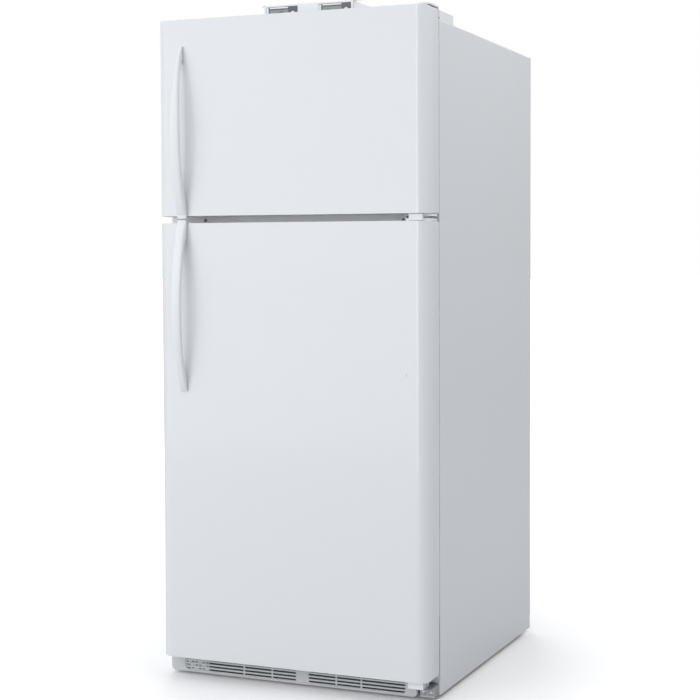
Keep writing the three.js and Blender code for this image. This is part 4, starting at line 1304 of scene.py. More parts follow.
@dataclass
class Hinges:
    """The three hinges with their fixings, the spacer and the cover on top.

    Attributes:
        rail_screws: Places of the screws on the divider rail, x and z.
        flange_screw: Place of the screw on the middle hinge's flange, x and z.
        cover_fall: How far the top cover falls towards the back.
        bracket_bolts: Places of the bolts on the lower bracket, x and z.
        spacer_left: The left edge of the spacer in the gap.
        bracket: Left, right and bottom of the lower bracket's front.
    """

    rail_screws: tuple[Span, ...] = ((0.280, 1.1745), (-0.275, 1.1785))
    flange_screw: Span = (0.2925, 1.1815)
    cover_fall: float = 15 * MM
    bracket_bolts: tuple[Span, ...] = ((0.342, 0.0185), (0.3625, 0.0185), (0.352, 0.041))
    spacer_left: float = 0.3215
    bracket: tuple[float, float, float] = (0.3315, 0.3718, 0.0095)

    def build(self) -> None:
        """Models the hinges and their fixings."""
        for node, finish in (
            ("top_hinge", ENAMEL),
            ("middle_hinge", PLATED_STEEL),
            ("bottom_hinge", PLATED_STEEL),
        ):
            plate = Workpiece.traced(f"{node}_plate", node)
            plate.soften(0.5 * MM, 2).fit("cabinet", Slot.ZINC, node, finish=finish)
        low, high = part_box("hinge_spacer")
        spacer = Workpiece.block("hinge_spacer_block", (self.spacer_left, low.y, low.z), high)
        spacer.edges(lambda place, way: way.z > 0.9 and at(place.y, low.y)).bevel(3 * MM, 4)
        spacer.soften(0.9 * MM, 3).fit("cabinet", Slot.WHITE, "hinge_spacer")
        self.build_cover()
        self.build_fixings()
        self.build_bushes()
        self.build_arm_cap()
        self.build_bracket()

    def build_bushes(self) -> None:
        """Moulds the white shrouds around the middle hinge's pin, above and below its arm."""
        low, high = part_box("middle_hinge")
        gap_low, gap_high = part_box("fridge_door_skin")[1].z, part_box("freezer_door_skin")[0].z
        middle = (gap_low + gap_high) / 2
        for name, bottom, top in (
            ("lower", gap_low + 0.4 * MM, middle - 2.6 * MM),
            ("upper", middle + 2.6 * MM, gap_high - 0.4 * MM),
        ):
            left, right = high.x - 34 * MM, high.x + 2.4 * MM
            front, back = low.y + 0.5 * MM, high.y - 8 * MM
            shroud = Workpiece.block(
                f"hinge_shroud_{name}", (left, front, bottom), (right, back, top)
            )
            shroud.edges(
                lambda place, way: way.z > 0.9 and at(place.y, front) and at(place.x, right)
            ).bevel(24 * MM, 10)
            shroud.edges(lambda place, way: way.z > 0.9 and at(place.y, front)).bevel(4 * MM, 4)
            shroud.faces(lambda _, normal: abs(normal.z) < 0.1).inset(1.2 * MM, -0.9 * MM)
            shroud.soften(0.5 * MM, 2, 50).fit("cabinet", Slot.WHITE)

    def build_arm_cap(self) -> None:
        """Moulds the white cap that hides the upper hinge's arm."""
        low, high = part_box("top_hinge")
        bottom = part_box("freezer_door_skin")[1].z + 1.0 * MM
        front, right = low.y - 0.8 * MM, high.x + 0.8 * MM
        cap = Workpiece.block(
            "hinge_arm_cap",
            (low.x - 0.8 * MM, front, bottom),
            (right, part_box("top_hinge_cover")[0].y - 0.5 * MM, high.z + 1.4 * MM),
        )
        cap.edges(lambda place, way: way.z > 0.9 and at(place.y, front)).bevel(17 * MM, 8)
        cap.soften(1.1 * MM, 3, 50).fit("cabinet", Slot.WHITE)

    def build_bracket(self) -> None:
        """Folds the plated front of the lower hinge's bracket, with its turned edges and bolts."""
        left, right, bottom = self.bracket
        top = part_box("door_cam")[0].z - 1.2 * MM
        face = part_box("toe_grille")[0].y
        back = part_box("bottom_hinge")[1].y - 1 * MM
        plate = Workpiece.block("bracket_front", (left, face, bottom), (right, back, top))
        plate.faces(lambda _, normal: normal.y > 0.9 or abs(normal.z) > 0.9).drop()
        plate.outward().edges(lambda place, way: way.z > 0.9 and at(place.y, face)).bevel(2 * MM, 3)
        plate.modify("SOLIDIFY", thickness=1.6 * MM, offset=-1.0, use_even_offset=True)
        plate.faces(lambda place, normal: normal.y < -0.9 and at(place.y, face))
        plate.inset(3.5 * MM, -0.6 * MM).soften(0.4 * MM, 2)
        plate.fit("cabinet", Slot.ZINC, finish=PLATED_STEEL)
        for i, (x, z) in enumerate(self.bracket_bolts):
            reach = (face - 1.0 * MM, face + 1 * MM)
            bolt = Workpiece.rod(f"bracket_bolt_{i}", "y", 4.8 * MM, reach, (x, z))
            bolt.faces(lambda _, normal: normal.y < -0.95).inset(1.2 * MM).extrude(y=-1.8 * MM)
            bolt.soften(0.4 * MM, 2).fit("cabinet", Slot.ZINC, finish=PLATED_STEEL)

    def build_cover(self) -> None:
        """Moulds the cover over the top hinge."""
        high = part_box("top_hinge_cover")[1]
        cover = Workpiece.traced("hinge_cap", "top_hinge_cover")
        cover.edges(lambda place, _: at(place.z, high.z) and at(place.y, high.y))
        cover.move(z=-self.cover_fall)
        side = high.z - 0.8 * self.cover_fall
        cover.edges(lambda place, _: place.z > side and at(place.x, high.x))
        cover.move(x=-6 * MM, z=-9 * MM)
        cover.soften(2.4 * MM, 4, 40)
        cover.fit("cabinet", Slot.WHITE, "top_hinge_cover", angle=45)

    def build_fixings(self) -> None:
        """Sets the dark screws of the divider rail and of the middle hinge's flange."""
        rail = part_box("mullion_rail")[0].y
        for i, (x, z) in enumerate(self.rail_screws):
            head = screw(f"divider_screw_{i}", (x, rail, z), 4.0 * MM)
            head.fit("cabinet", Slot.ZINC, finish=DARK_SCREW)
        x, z = self.flange_screw
        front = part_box("middle_hinge")[1].y - 3.0 * MM
        screw("flange_screw", (x, front, z), 3.4 * MM).fit("cabinet", Slot.ZINC, finish=DARK_SCREW)


# ---------------------------------------------------------------- cabinet


@dataclass
class Cabinet:
    """The painted shell, the compartments' liners and the divider.

    Attributes:
        room_corner: Radius of the compartments' inner corners.
        wall: The liners' thickness.
        rooms: Each liner's node, its piece's name and half the width inside it.
    """

    room_corner: float = 12 * MM
    wall: float = 2 * MM
    rooms: tuple[tuple[str, str, float], ...] = (
        ("freezer_liner", "freezer_room", 0.321),
        ("fresh_food_liner", "fresh_food_room", 0.328),
    )

    def build(self) -> None:
        """Models the cabinet's pieces."""
        shell = Workpiece.traced("cabinet_outer_shell", "cabinet_shell")
        shell.soften(0.35 * MM, 2, 40).fit("cabinet", Slot.PAINT, "cabinet_shell")
        dress_node("insulation_foam", RIGID_FOAM)
        for node, name, half in self.rooms:
            self.build_liner(node, name, half)
        rail = Workpiece.traced("divider_rail", "mullion_rail")
        # The rail wears the lighter copy of the enamel, painted bright against the shade that falls
        # in the gap between the doors.
        rail.soften(1.5 * MM, 3).fit("cabinet", Slot.PAINT, "mullion_rail", finish=RAIL_ENAMEL_PAINTED_BRIGHT)

    def build_liner(self, node: str, name: str, half: float) -> None:
        """Forms a compartment's liner with rounded inner corners.

        Args:
            node: The liner that the piece follows.
            name: The piece's name.
            half: Half the width inside the liner.
        """
        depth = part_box(node)[1].y - self.wall
        room = Workpiece.traced(name, node)
        room.edges(
            lambda middle, way: at(abs(middle.x), half) and at(middle.y, depth) and way.z > 0.9
        ).bevel(self.room_corner, 5)
        room.soften(0.6 * MM, 2, 40).fit("cabinet", Slot.LINER, node)


@dataclass
class Grille:
    """The toe grille: a slotted front in a raised bezel with rounded ends.

    Attributes:
        opening: Left, right, bottom and top of the bezel's opening.
        proud: How far the bezel stands out.
        blanks: Where a plate behind closes the slots.
        hole_pitch: The step between the holes in those plates.
        row_low: Height of the lowest row of slots.
        row_pitch: The step between the rows.
    """

    opening: tuple[float, float, float, float] = (-0.331, 0.297, 0.0113, 0.0452)
    proud: float = 2.2 * MM
    blanks: tuple[Span, ...] = ((-0.3265, -0.262), (-0.008, 0.028))
    hole_pitch: float = 10 * MM
    row_low: float = 15.3 * MM
    row_pitch: float = 8.6 * MM

    def build(self) -> None:
        """Models the grille, its bezel and the plates behind."""
        node = "toe_grille"
        low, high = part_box(node)
        front = Workpiece.traced("grille_front", node)
        front.soften(0.45 * MM, 2).fit("cabinet", Slot.GREY, node)
        self.build_bezel(low, high)
        baffle = Workpiece.block(
            "grille_baffle",
            (low.x + 4 * MM, low.y + 4.6 * MM, low.z + 3.5 * MM),
            (high.x - 4 * MM, low.y + 6.0 * MM, high.z - 0.5 * MM),
        )
        baffle.faces(lambda _, normal: normal.y < -0.9).inset(2 * MM, -0.5 * MM)
        baffle.soften(0.3 * MM, 2).fit("cabinet", Slot.BLACK_PLASTIC)
        for i, (start, end) in enumerate(self.blanks):
            self.build_blank(i, (start, end), low.y)

    def build_blank(self, index: int, span: Span, face: float) -> None:
        """Cuts the pierced plate that half closes the slots.

        Args:
            index: The plate's number.
            span: Where it starts and ends.
            face: Where the grille's front lies.
        """
        start, end = span
        plate = Workpiece.block(
            f"grille_blank_{index}",
            (start, face + 3.1 * MM, 12 * MM),
            (end, face + 4.2 * MM, 45 * MM),
        )
        holes = []
        count = max(1, int((end - start) / self.hole_pitch))
        for row in range(4):
            z = self.row_low + row * self.row_pitch
            for column in range(count):
                if (row + column) % 3 == 2:
                    continue
                x = start + (column + 0.5) * (end - start) / count
                low = (x - 3.0 * MM, face, z - 1.2 * MM)
                high = (x + 3.0 * MM, face + 8 * MM, z + 1.2 * MM)
                holes.append(Workpiece.block(f"hole_{row}_{column}", low, high))
        plate.cut(holes[0].join(holes[1:]))
        plate.soften(0.25 * MM, 1).fit("cabinet", Slot.GREY)

    def build_bezel(self, low: Vector, high: Vector) -> None:
        """Cuts the bezel's rounded opening and raises its rim.

        Args:
            low: The grille's lowest corner.
            high: The grille's highest corner.
        """
        left, right, bottom, top = self.opening
        face = low.y
        plate = Workpiece.block(
            "grille_bezel",
            (low.x + 1.5 * MM, face - self.proud, low.z + 1.0 * MM),
            (high.x - 1.5 * MM, face + 0.3 * MM, high.z - 0.6 * MM),
        )
        half_way = face_middle(low, high)
        plate.edges(lambda place, way: way.y > 0.9 and place.z < half_way).bevel(11 * MM, 6)
        tool = Workpiece.block(
            "opening", (left, face - 0.01, bottom), (right, face + 0.01, top)
        )
        tool.edges(lambda _, way: way.y > 0.9).bevel(15.5 * MM, 8)
        plate.cut(tool)
        plate.soften(0.5 * MM, 2, 40).fit("cabinet", Slot.GREY)
        bead = Workpiece.block(
            "grille_bead",
            (left + 14 * MM, face - self.proud - 0.6 * MM, low.z + 2.4 * MM),
            (right - 14 * MM, face - self.proud + 0.4 * MM, low.z + 3.4 * MM),
        )
        bead.edges(lambda _, way: way.y > 0.9).bevel(0.45 * MM, 3)
        bead.soften(0.25 * MM, 2, 50).fit("cabinet", Slot.GREY)


def face_middle(low: Vector, high: Vector) -> float:
    """The height halfway between two corners."""
    return (low.z + high.z) / 2


# ---------------------------------------------------------------- thermometers


@dataclass
class SegmentReadout:
    """A number shown in seven-segment digits.

    Attributes:
        height: A digit's height.
        width: A digit's width.
        stroke: A segment's thickness.
        pitch: The step from digit to digit.
    """

    height: float = 12 * MM
    width: float = 6.4 * MM
    stroke: float = 1.3 * MM
    pitch: float = 9 * MM

    LIT = {"1": "bc", "4": "fgbc", "8": "abcdefg", "-": "g"}

    def _segments(self) -> dict[str, tuple[float, float, bool]]:
        """Each segment's middle and whether it stands upright.

        Returns:
            Each segment's middle across and up, and whether it stands upright.
        """
        half, side, quarter = self.height / 2, self.width / 2, self.height / 4
        return {
            "a": (0, half, False),
            "b": (side, quarter, True),
            "c": (side, -quarter, True),
            "d": (0, -half, False),
            "e": (-side, -quarter, True),
            "f": (-side, quarter, True),
            "g": (0, 0, False),
        }

    def build(self, name: str, text: str, middle: Vector) -> Workpiece:
        """Models the number.

        Args:
            name: The piece's name.
            text: The digits to show.
            middle: The middle of the first digit's face.

        Returns:
            The joined digits.
        """
        bars = []
        thin = 0.25 * MM
        for place, digit in enumerate(text):
            for key in self.LIT[digit]:
                x, z, upright = self._segments()[key]
                length = (self.height / 2 if upright else self.width) - self.stroke * 0.9
                half = (self.stroke / 2, length / 2) if upright else (length / 2, self.stroke / 2)
                centre = middle + Vector((x + place * self.pitch, 0, z))
                low = centre - Vector((half[0], thin, half[1]))
                high = centre + Vector((half[0], thin, half[1]))
                bar = Workpiece.block(f"{name}_{place}{key}", low, high)
                bar.edges(lambda _, way: way.y > 0.9).bevel(0.35 * self.stroke, 1)
                bars.append(bar)
        number = bars[0].join(bars[1:])
        number.body.name = name
        return number


@dataclass
class Thermometers:
    """The housing on the cabinet and its two displays.

    Attributes:
        readings: The number on each display.
        tab: Width of the white tab at a display's left end.
        button_end: Width of the dark end that holds the button.
        face_border: How far a display's face stands in from its ends, up and down.
    """

    readings: dict[str, str] = field(default_factory=lambda: {"left": "-18", "right": "4"})
    tab: float = 6 * MM
    button_end: float = 25 * MM
    face_border: float = 6 * MM

    def build(self) -> None:
        """Models the housing, displays, digits and buttons."""
        low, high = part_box("thermometer_housing")
        housing = Workpiece.traced("display_housing", "thermometer_housing")
        housing.edges(
            lambda middle, way: way.z > 0.9 and (at(middle.x, low.x) or at(middle.x, high.x))
        ).bevel(7 * MM, 5)
        housing.edges(lambda middle, way: at(middle.z, high.z) and way.z < 0.1).bevel(3 * MM, 4)
        housing.fit("cabinet", Slot.WHITE, "thermometer_housing", angle=45)
        for side, reading in self.readings.items():
            self.build_display(side, reading)

    def build_display(self, side: str, reading: str) -> None:
        """Models one display.

        Args:
            side: left or right.
            reading: The number that it shows.
        """
        node = f"thermometer_{side}"
        low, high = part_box(node)
        frame_ = Workpiece.traced(f"display_frame_{side}", node)
        frame_.soften(0.8 * MM, 2, 50).fit("cabinet", Slot.GREY, node, finish=DISPLAY_FRAME)
        tab = Workpiece.block(
            f"display_tab_{side}",
            (low.x + 1.5 * MM, low.y - 0.8 * MM, low.z + 1.2 * MM),
            (low.x + 1.5 * MM + self.tab, low.y + 1 * MM, high.z - 1.2 * MM),
        )
        tab.faces(lambda _, normal: normal.y < -0.9).inset(1.2 * MM, 0.3 * MM)
        tab.soften(0.4 * MM, 2).fit("cabinet", Slot.WHITE)
        left = low.x + self.tab + 5 * MM
        right = high.x - self.button_end
        bezel = Workpiece.block(
            f"display_top_lip_{side}",
            (left, low.y - 1.4 * MM, high.z - 4.8 * MM),
            (right, low.y + 1 * MM, high.z - 1.6 * MM),
        )
        bezel.faces(lambda _, normal: normal.z > 0.9).inset(0.8 * MM, 0.3 * MM)
        bezel.soften(0.5 * MM, 2).fit("cabinet", Slot.WHITE)
        face = Workpiece.block(
            f"display_face_{side}",
            (left, low.y - 0.4 * MM, low.z + self.face_border),
            (right, low.y + 1 * MM, high.z - self.face_border - 1.5 * MM),
        )
        face.faces(lambda _, normal: normal.y < -0.9).inset(1.1 * MM, -0.25 * MM)
        face.soften(0.3 * MM, 2).fit("cabinet", Slot.GREY, finish=LIQUID_CRYSTAL)
        start = Vector((left + 16 * MM, low.y - 0.25 * MM, (low.z + high.z) / 2 - 0.8 * MM))
        SegmentReadout().build(f"display_digits_{side}", reading, start).fit(
            "cabinet", Slot.GREY, finish=SEGMENT_INK
        )
        node = f"thermometer_button_{side}"
        low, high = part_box(node)
        middle = ((low.x + high.x) / 2, (low.z + high.z) / 2)
        radius = (high.x - low.x) / 2
        cap = Workpiece.rod(f"display_button_{side}", "y", radius, (low.y, high.y), middle)
        cap.edges(lambda place, _: at(place.y, low.y)).bevel(1.1 * MM, 3)
        cap.faces(lambda _, normal: normal.y < -0.95).inset(1.2 * MM, -0.3 * MM)
        cap.fit(node, Slot.WHITE, node)


# ---------------------------------------------------------------- compartments


@dataclass
class ControlPanel:
    """The control box at the top of the fresh-food room, its knobs, scales and lamp.

    Attributes:
        marks: How many steps each scale has.
        sweep: Half the angle that a scale covers, in radians.
        scale_radius: How far a scale's numbers stand from the knob's middle.
    """

    marks: int = 5
    sweep: float = 1.9
    scale_radius: float = 18.5 * MM

    def build(self) -> None:
        """Models the box, knobs, scales, lamp lens and switch."""
        box = Workpiece.traced("control_housing", "control_box")
        low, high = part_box("control_box")
        box.edges(
            lambda middle, way: at(middle.y, low.y) and at(middle.z, low.z) and way.x > 0.9
        ).bevel(2.5 * MM, 4)
        box.soften(0.6 * MM, 2, 50).fit("cabinet", Slot.WHITE, "control_box")
        for name in ("fridge", "freezer"):
            self.build_knob(f"{name}_control_knob")
        self.build_lens(low, high)
        pin = Workpiece.traced("switch_plunger_pin", "door_switch_plunger")
        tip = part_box("door_switch_plunger")[0].y
        pin.edges(lambda middle, _: at(middle.y, tip)).bevel(2 * MM, 4)
        pin.fit("door_switch_plunger", Slot.WHITE, "door_switch_plunger")

    def build_knob(self, node: str) -> None:
        """Moulds a knob and the numbered scale behind it.

        Args:
            node: The knob that the piece follows.
        """
        low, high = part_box(node)
        x, z = (low.x + high.x) / 2, (low.z + high.z) / 2
        knob = Workpiece.traced(f"{node}_cap", node)
        knob.soften(1.0 * MM, 3, 50).fit(node, Slot.WHITE, node, finish=GREY_MOULDED)
        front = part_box("control_box")[0].y
        numerals = []
        for i in range(self.marks):
            angle = -self.sweep + 2 * self.sweep * i / (self.marks - 1)
            clear_bench()
            bpy.ops.object.text_add(rotation=(math.pi / 2, 0, 0))
            label = bpy.context.object
            label.data.body = str(i + 1)
            label.data.size = 6 * MM
            label.data.extrude = 0.1 * MM
            label.data.align_x = "CENTER"
            label.data.align_y = "CENTER"
            reach = self.scale_radius
            across, up = reach * math.sin(angle), reach * math.cos(angle)
            label.location = (x + across, front - 0.05 * MM, z + up)
            bpy.ops.object.convert(target="MESH")
            bpy.ops.object.transform_apply(location=True, rotation=True, scale=True)
            numerals.append(Workpiece(f"{node}_scale_{i}").outward())
        numerals[0].join(numerals[1:]).fit("cabinet", Slot.GREY, finish=DISPLAY_FRAME)

    def build_lens(self, low: Vector, high: Vector) -> None:
        """Moulds the ribbed lamp lens under the box.

        Args:
            low: The control box's lowest corner.
            high: Its highest corner.
        """
        lens = Workpiece.block(
            "lamp_lens",
            (-0.06, low.y + 0.045, low.z - 7 * MM),
            (0.06, high.y - 0.02, low.z + 0.2 * MM),
        )
        lens.faces(lambda _, normal: normal.z < -0.95)
        for _ in range(3):
            lens.inset(5 * MM).inset(0.8 * MM, -1.2 * MM)
        lens.soften(0.5 * MM, 2)
        lens.fit("cabinet", Slot.CLEAR)


class FreshFoodRoom:
    """Shelves and drawers of the fresh-food compartment."""

    def build(self) -> None:
        """Models the shelves and drawers."""
        for name in ("crisper_cover", "lower_shelf", "upper_shelf"):
            rim = Workpiece.traced(f"{name}_rim", f"{name}_frame")
            rim.soften(1.4 * MM, 3).fit("cabinet", Slot.WHITE, f"{name}_frame")
            pane = Workpiece.traced(f"{name}_pane", f"{name}_glass")
            pane.soften(0.7 * MM, 2).fit("cabinet", Slot.GLASS, f"{name}_glass")
            self.build_trim(name)
        for side in ("left", "right"):
            self.build_drawer(f"crisper_{side}")

    def build_trim(self, name: str) -> None:
        """Clips a grey trim along a shelf's front edge.

        Args:
            name: The shelf's name.
        """
        low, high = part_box(f"{name}_frame")
        strip = Workpiece.block(
            f"{name}_trim",
            (low.x + 4 * MM, low.y - 2.4 * MM, low.z + 3 * MM),
            (high.x - 4 * MM, low.y + 0.2 * MM, high.z - 3 * MM),
        )
        strip.faces(lambda _, normal: normal.y < -0.9).inset(2.2 * MM, -0.7 * MM)
        strip.soften(0.6 * MM, 2).fit("cabinet", Slot.GREY)

    def build_drawer(self, node: str) -> None:
        """Moulds a clear drawer with round corners and a white pull.

        Args:
            node: The drawer that the piece follows.
        """
        low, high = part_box(node)
        tub = Workpiece.traced(f"{node}_tub", node)
        front = low.y + 10 * MM
        tub.edges(lambda middle, way: way.z > 0.9 and middle.y > front + 0.1).bevel(12 * MM, 5)
        tub.edges(
            lambda middle, way: at(middle.z, low.z) and way.x > 0.9 and at(middle.y, front)
        ).bevel(8 * MM, 5)
        tub.soften(0.6 * MM, 2, 45).fit(node, Slot.CLEAR, node)
        pull = Workpiece.block(
            f"{node}_pull",
            (low.x + 6 * MM, low.y - 2 * MM, high.z - 24 * MM),
            (high.x - 6 * MM, low.y + 0.3 * MM, high.z - 2 * MM),
        )
        pull.faces(lambda _, normal: normal.y < -0.9).inset(3 * MM, -0.8 * MM)
        pull.soften(0.7 * MM, 2).fit(node, Slot.WHITE)


class FreezerRoom:
    """Shelf, cover, coil and fan of the freezer compartment."""

    def build(self) -> None:
        """Models the pieces."""
        for node, name, slot, radius in (
            ("freezer_shelf", "freezer_wire_shelf", Slot.WHITE, 1.2),
            ("evaporator_cover", "evaporator_front", Slot.LINER, 0.8),
            ("evaporator_coil", "evaporator_fins", Slot.ALUMINIUM, 0.3),
            ("evaporator_fan_motor", "evaporator_motor", Slot.BLACK_STEEL, 1.2),
        ):
            piece = Workpiece.traced(name, node)
            piece.soften(radius * MM, 2, 45).fit("cabinet", slot, node)
        fan = Workpiece.traced("evaporator_impeller", "evaporator_fan")
        fan.soften(0.4 * MM, 2, 50).fit("evaporator_fan", Slot.WHITE, "evaporator_fan")
        self.build_turns()

    def build_turns(self) -> None:
        """Bends the copper return turns at the coil's two ends."""
        low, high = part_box("evaporator_coil")
        rows = 4
        pitch = (high.z - low.z) / rows
        y = (low.y + high.y) / 2 + 10 * MM
        angles = [math.pi * i / 10 for i in range(11)]
        for side in (-1, 1):
            edge = high.x * side
            turns = []
            for row in range(rows - 1):
                z = low.z + (row + 1.0) * pitch
                arc = [
                    Vector((
                        edge + side * 14 * MM * math.sin(angle),
                        y,
                        z - pitch / 2 * math.cos(angle),
                    ))
                    for angle in angles
                ]
                turns.append(Workpiece.tube(f"turn_{side}_{row}", 4 * MM, arc))
            bend = turns[0].join(turns[1:])
            bend.fit("cabinet", Slot.COPPER, angle=60)
            bend.body.name = f"evaporator_turns_{'left' if side < 0 else 'right'}"


# ---------------------------------------------------------------- back and base


@dataclass
class MachineRoom:
    """Compressor, condenser, fan and covers at the back.

    Attributes:
        passes: How many times the condenser tube crosses.
        tube: The condenser tube's radius.
        lap: How far the rear sheet laps over the shell's top edge.
        beads: Where the rear sheet's pressed beads stand.
        bead_ends: Height of the beads' lower and upper end.
        louvres: Rows and columns of hoods on the lower cover.
        louvre_pitch: The step across and up between the hoods.
        louvre_low: Height of the lowest row of hoods.
        screw_x: How far the rear sheets' side screws stand from the middle.
    """

    passes: int = 7
    tube: float = 3 * MM
    lap: float = 5.6 * MM
    beads: tuple[float, ...] = (-0.24, -0.08, 0.08, 0.24)
    bead_ends: Span = (0.36, 1.56)
    louvres: tuple[int, int] = (3, 9)
    louvre_pitch: Span = (64 * MM, 30 * MM)
    louvre_low: float = 0.150
    screw_x: float = 0.366

    def build(self) -> None:
        """Models the machine compartment and the back."""
        shell = Workpiece.traced("compressor_can", "compressor")
        shell.soften(0.8 * MM, 2, 50).fit("cabinet", Slot.BLACK_STEEL, "compressor")
        self.build_compressor_parts()
        self.build_condenser()
        fan = Workpiece.traced("condenser_impeller", "condenser_fan")
        fan.soften(0.4 * MM, 2, 50).fit("condenser_fan", Slot.BLACK_PLASTIC, "condenser_fan")
        motor = Workpiece.traced("condenser_motor", "condenser_fan_motor")
        motor.soften(1.0 * MM, 2, 50).fit("cabinet", Slot.BLACK_STEEL, "condenser_fan_motor")
        inlet = Workpiece.traced("inlet_bushing", "power_inlet")
        inlet.soften(0.9 * MM, 3, 50).fit("cabinet", Slot.BLACK_PLASTIC, "power_inlet")
        cover = Workpiece.traced("rear_lower_cover", "machine_cover")
        cover.fit("cabinet", Slot.ZINC, "machine_cover")
        self.build_rear_sheet()
        self.build_louvres()
        self.build_rear_screws()

    def build_compressor_parts(self) -> None:
        """Adds the weld seam, the terminal cover and the suction and process tubes."""
        low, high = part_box("compressor")
        x, y = (low.x + high.x) / 2, (low.y + high.y) / 2
        radius = 82 * MM
        seam_height = low.z + 0.55 * (high.z - low.z)
        seam = Workpiece.ring("compressor_seam", radius, 2.2 * MM, (x, y, seam_height), (0, 0, 0))
        seam.faces(lambda middle, normal: abs(normal.z) > 0.95).move(z=0.2 * MM)
        seam.fit("cabinet", Slot.BLACK_STEEL, angle=60)
        cover = Workpiece.block(
            "terminal_cover",
            (x - radius - 20 * MM, y - 24 * MM, low.z + 60 * MM),
            (x - radius + 12 * MM, y + 24 * MM, low.z + 108 * MM),
        )
        cover.faces(lambda _, normal: normal.x < -0.9).inset(4 * MM, 2 * MM)
        cover.soften(2 * MM, 3).fit("cabinet", Slot.BLACK_PLASTIC)
        top = low.z + 0.45 * (high.z - low.z)
        for i, (dx, dy) in enumerate(((0.6, 0.8), (-0.55, 0.84))):
            start = Vector((x + dx * radius * 0.98, y + dy * radius * 0.98, top))
            out = Vector((dx, dy, 0)) * 14 * MM
            path = [start, start + out]
            for step in range(1, 8):
                turn = step / 7 * math.pi / 2
                path.append(start + out + Vector((dx, dy, 0)) * 10 * MM * math.sin(turn)
                            + Vector((0, 0, 10 * MM * (1 - math.cos(turn)))))
            path.append(path[-1] + Vector((0, 0, 45 * MM)))
            pipe = Workpiece.tube(f"compressor_tube_{i}", 3.2 * MM, path)
            pipe.fit("cabinet", Slot.COPPER, angle=60)

    def build_condenser(self) -> None:
        """Bends the condenser tube and clips its two upright brackets on."""
        low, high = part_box("condenser_coil")
        x = (low.x + high.x) / 2
        middle = (low.y + high.y) / 2
        half = 85 * MM
        pitch = (high.z - low.z - 2 * self.tube) / (self.passes - 1)
        bulge = (high.y - low.y) / 2 - half - self.tube
        points = []
        for row in range(self.passes):
            side = 1 if row % 2 == 0 else -1
            z = low.z + self.tube + row * pitch
            points.append(Vector((x, middle - side * half, z)))
            points.append(Vector((x, middle + side * half, z)))
            if row + 1 < self.passes:
                for step in range(1, 8):
                    turn = math.pi * step / 8
                    y = middle + side * (half + bulge * math.sin(turn))
                    points.append(Vector((x, y, z + pitch / 2 * (1 - math.cos(turn)))))
        tube = Workpiece.tube("condenser_tube", self.tube, points, 3)
        tube.fit("cabinet", Slot.COPPER, "condenser_coil", angle=60, finish=BLACK_ENAMEL)
        for i, side in enumerate((-1, 1)):
            y = middle + side * 55 * MM
            bracket = Workpiece.block(
                f"condenser_bracket_{i}",
                (x - self.tube - 1.2 * MM, y - 5 * MM, low.z - 26.5 * MM),
                (x - self.tube + 0.2 * MM, y + 5 * MM, high.z + 3 * MM),
            )
            bracket.faces(lambda _, normal: normal.z < -0.9).extrude(z=-0.2 * MM)
            bracket.soften(0.4 * MM, 2).fit("cabinet", Slot.ZINC)

    def build_rear_sheet(self) -> None:
        """Closes the back with a sheet that laps the shell's rear edge, with pressed beads."""
        low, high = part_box("back_panel")
        sheet = Workpiece.traced("rear_sheet", "back_panel")
        sheet.faces(lambda place, normal: normal.z > 0.9 and at(place.z, high.z)).move(z=self.lap)
        sheet.faces(lambda place, normal: normal.z < -0.9 and at(place.z, low.z)).move(z=-0.9 * MM)
        sheet.fit("cabinet", Slot.ZINC, "back_panel")
        x, crest = self.beads[0], high.y + 1.8 * MM
        bottom, top = self.bead_ends
        bead = Workpiece.block(
            "rear_beads", (x - 7 * MM, high.y - 0.5 * MM, bottom), (x + 7 * MM, crest, top)
        )
        bead.edges(lambda _, way: way.y > 0.9).bevel(6.9 * MM, 6)
        bead.edges(lambda place, _: at(place.y, crest)).bevel(1.3 * MM, 3)
        bead.spread([(place - x, 0.0, 0.0) for place in self.beads[1:]])
        bead.fit("cabinet", Slot.ZINC)

    def build_louvres(self) -> None:
        """Raises a hood over each slot of the lower cover, modelled once and copied."""
        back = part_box("machine_cover")[1].y
        rows, columns = self.louvres
        pitch_x, pitch_z = self.louvre_pitch
        low = self.louvre_low
        x = -(columns - 1) / 2 * pitch_x
        hood = Workpiece.block(
            "louvre_hoods",
            (x - 22 * MM, back - 0.2 * MM, low + 1.5 * MM),
            (x + 22 * MM, back + 3.2 * MM, low + 5.0 * MM),
        )
        hood.edges(
            lambda place, _: at(place.y, back + 3.2 * MM) and place.z > low + 4 * MM
        ).bevel(2.4 * MM, 3)
        offsets = [
            (column * pitch_x, 0.0, row * pitch_z)
            for row in range(rows)
            for column in range(columns)
            if row or column
        ]
        hood.spread(offsets).fit("cabinet", Slot.ZINC)

    def build_rear_screws(self) -> None:
        """Fixes both rear sheets with screws along their edges."""
        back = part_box("back_panel")[1].y
        x = self.screw_x
        places = [(side * x, z) for side in (-1, 1) for z in (0.30, 0.62, 0.95, 1.28, 1.62)]
        places += [(side * x, z) for side in (-1, 1) for z in (0.075, 0.235)]
        places += [(px, z) for px in (-0.19, 0.19) for z in (0.245, 1.64)]
        reach = (back - 0.2 * MM, back + 1.8 * MM)
        first = Workpiece.rod("rear_screws", "y", 5 * MM, reach, places[0], 12)
        first.faces(lambda _, normal: normal.y > 0.95).inset(1.8 * MM, -0.7 * MM)
        offsets = [(px - places[0][0], 0.0, z - places[0][1]) for px, z in places[1:]]
        first.soften(0.35 * MM, 1).spread(offsets).fit("cabinet", Slot.ZINC, finish=PLATED_STEEL)


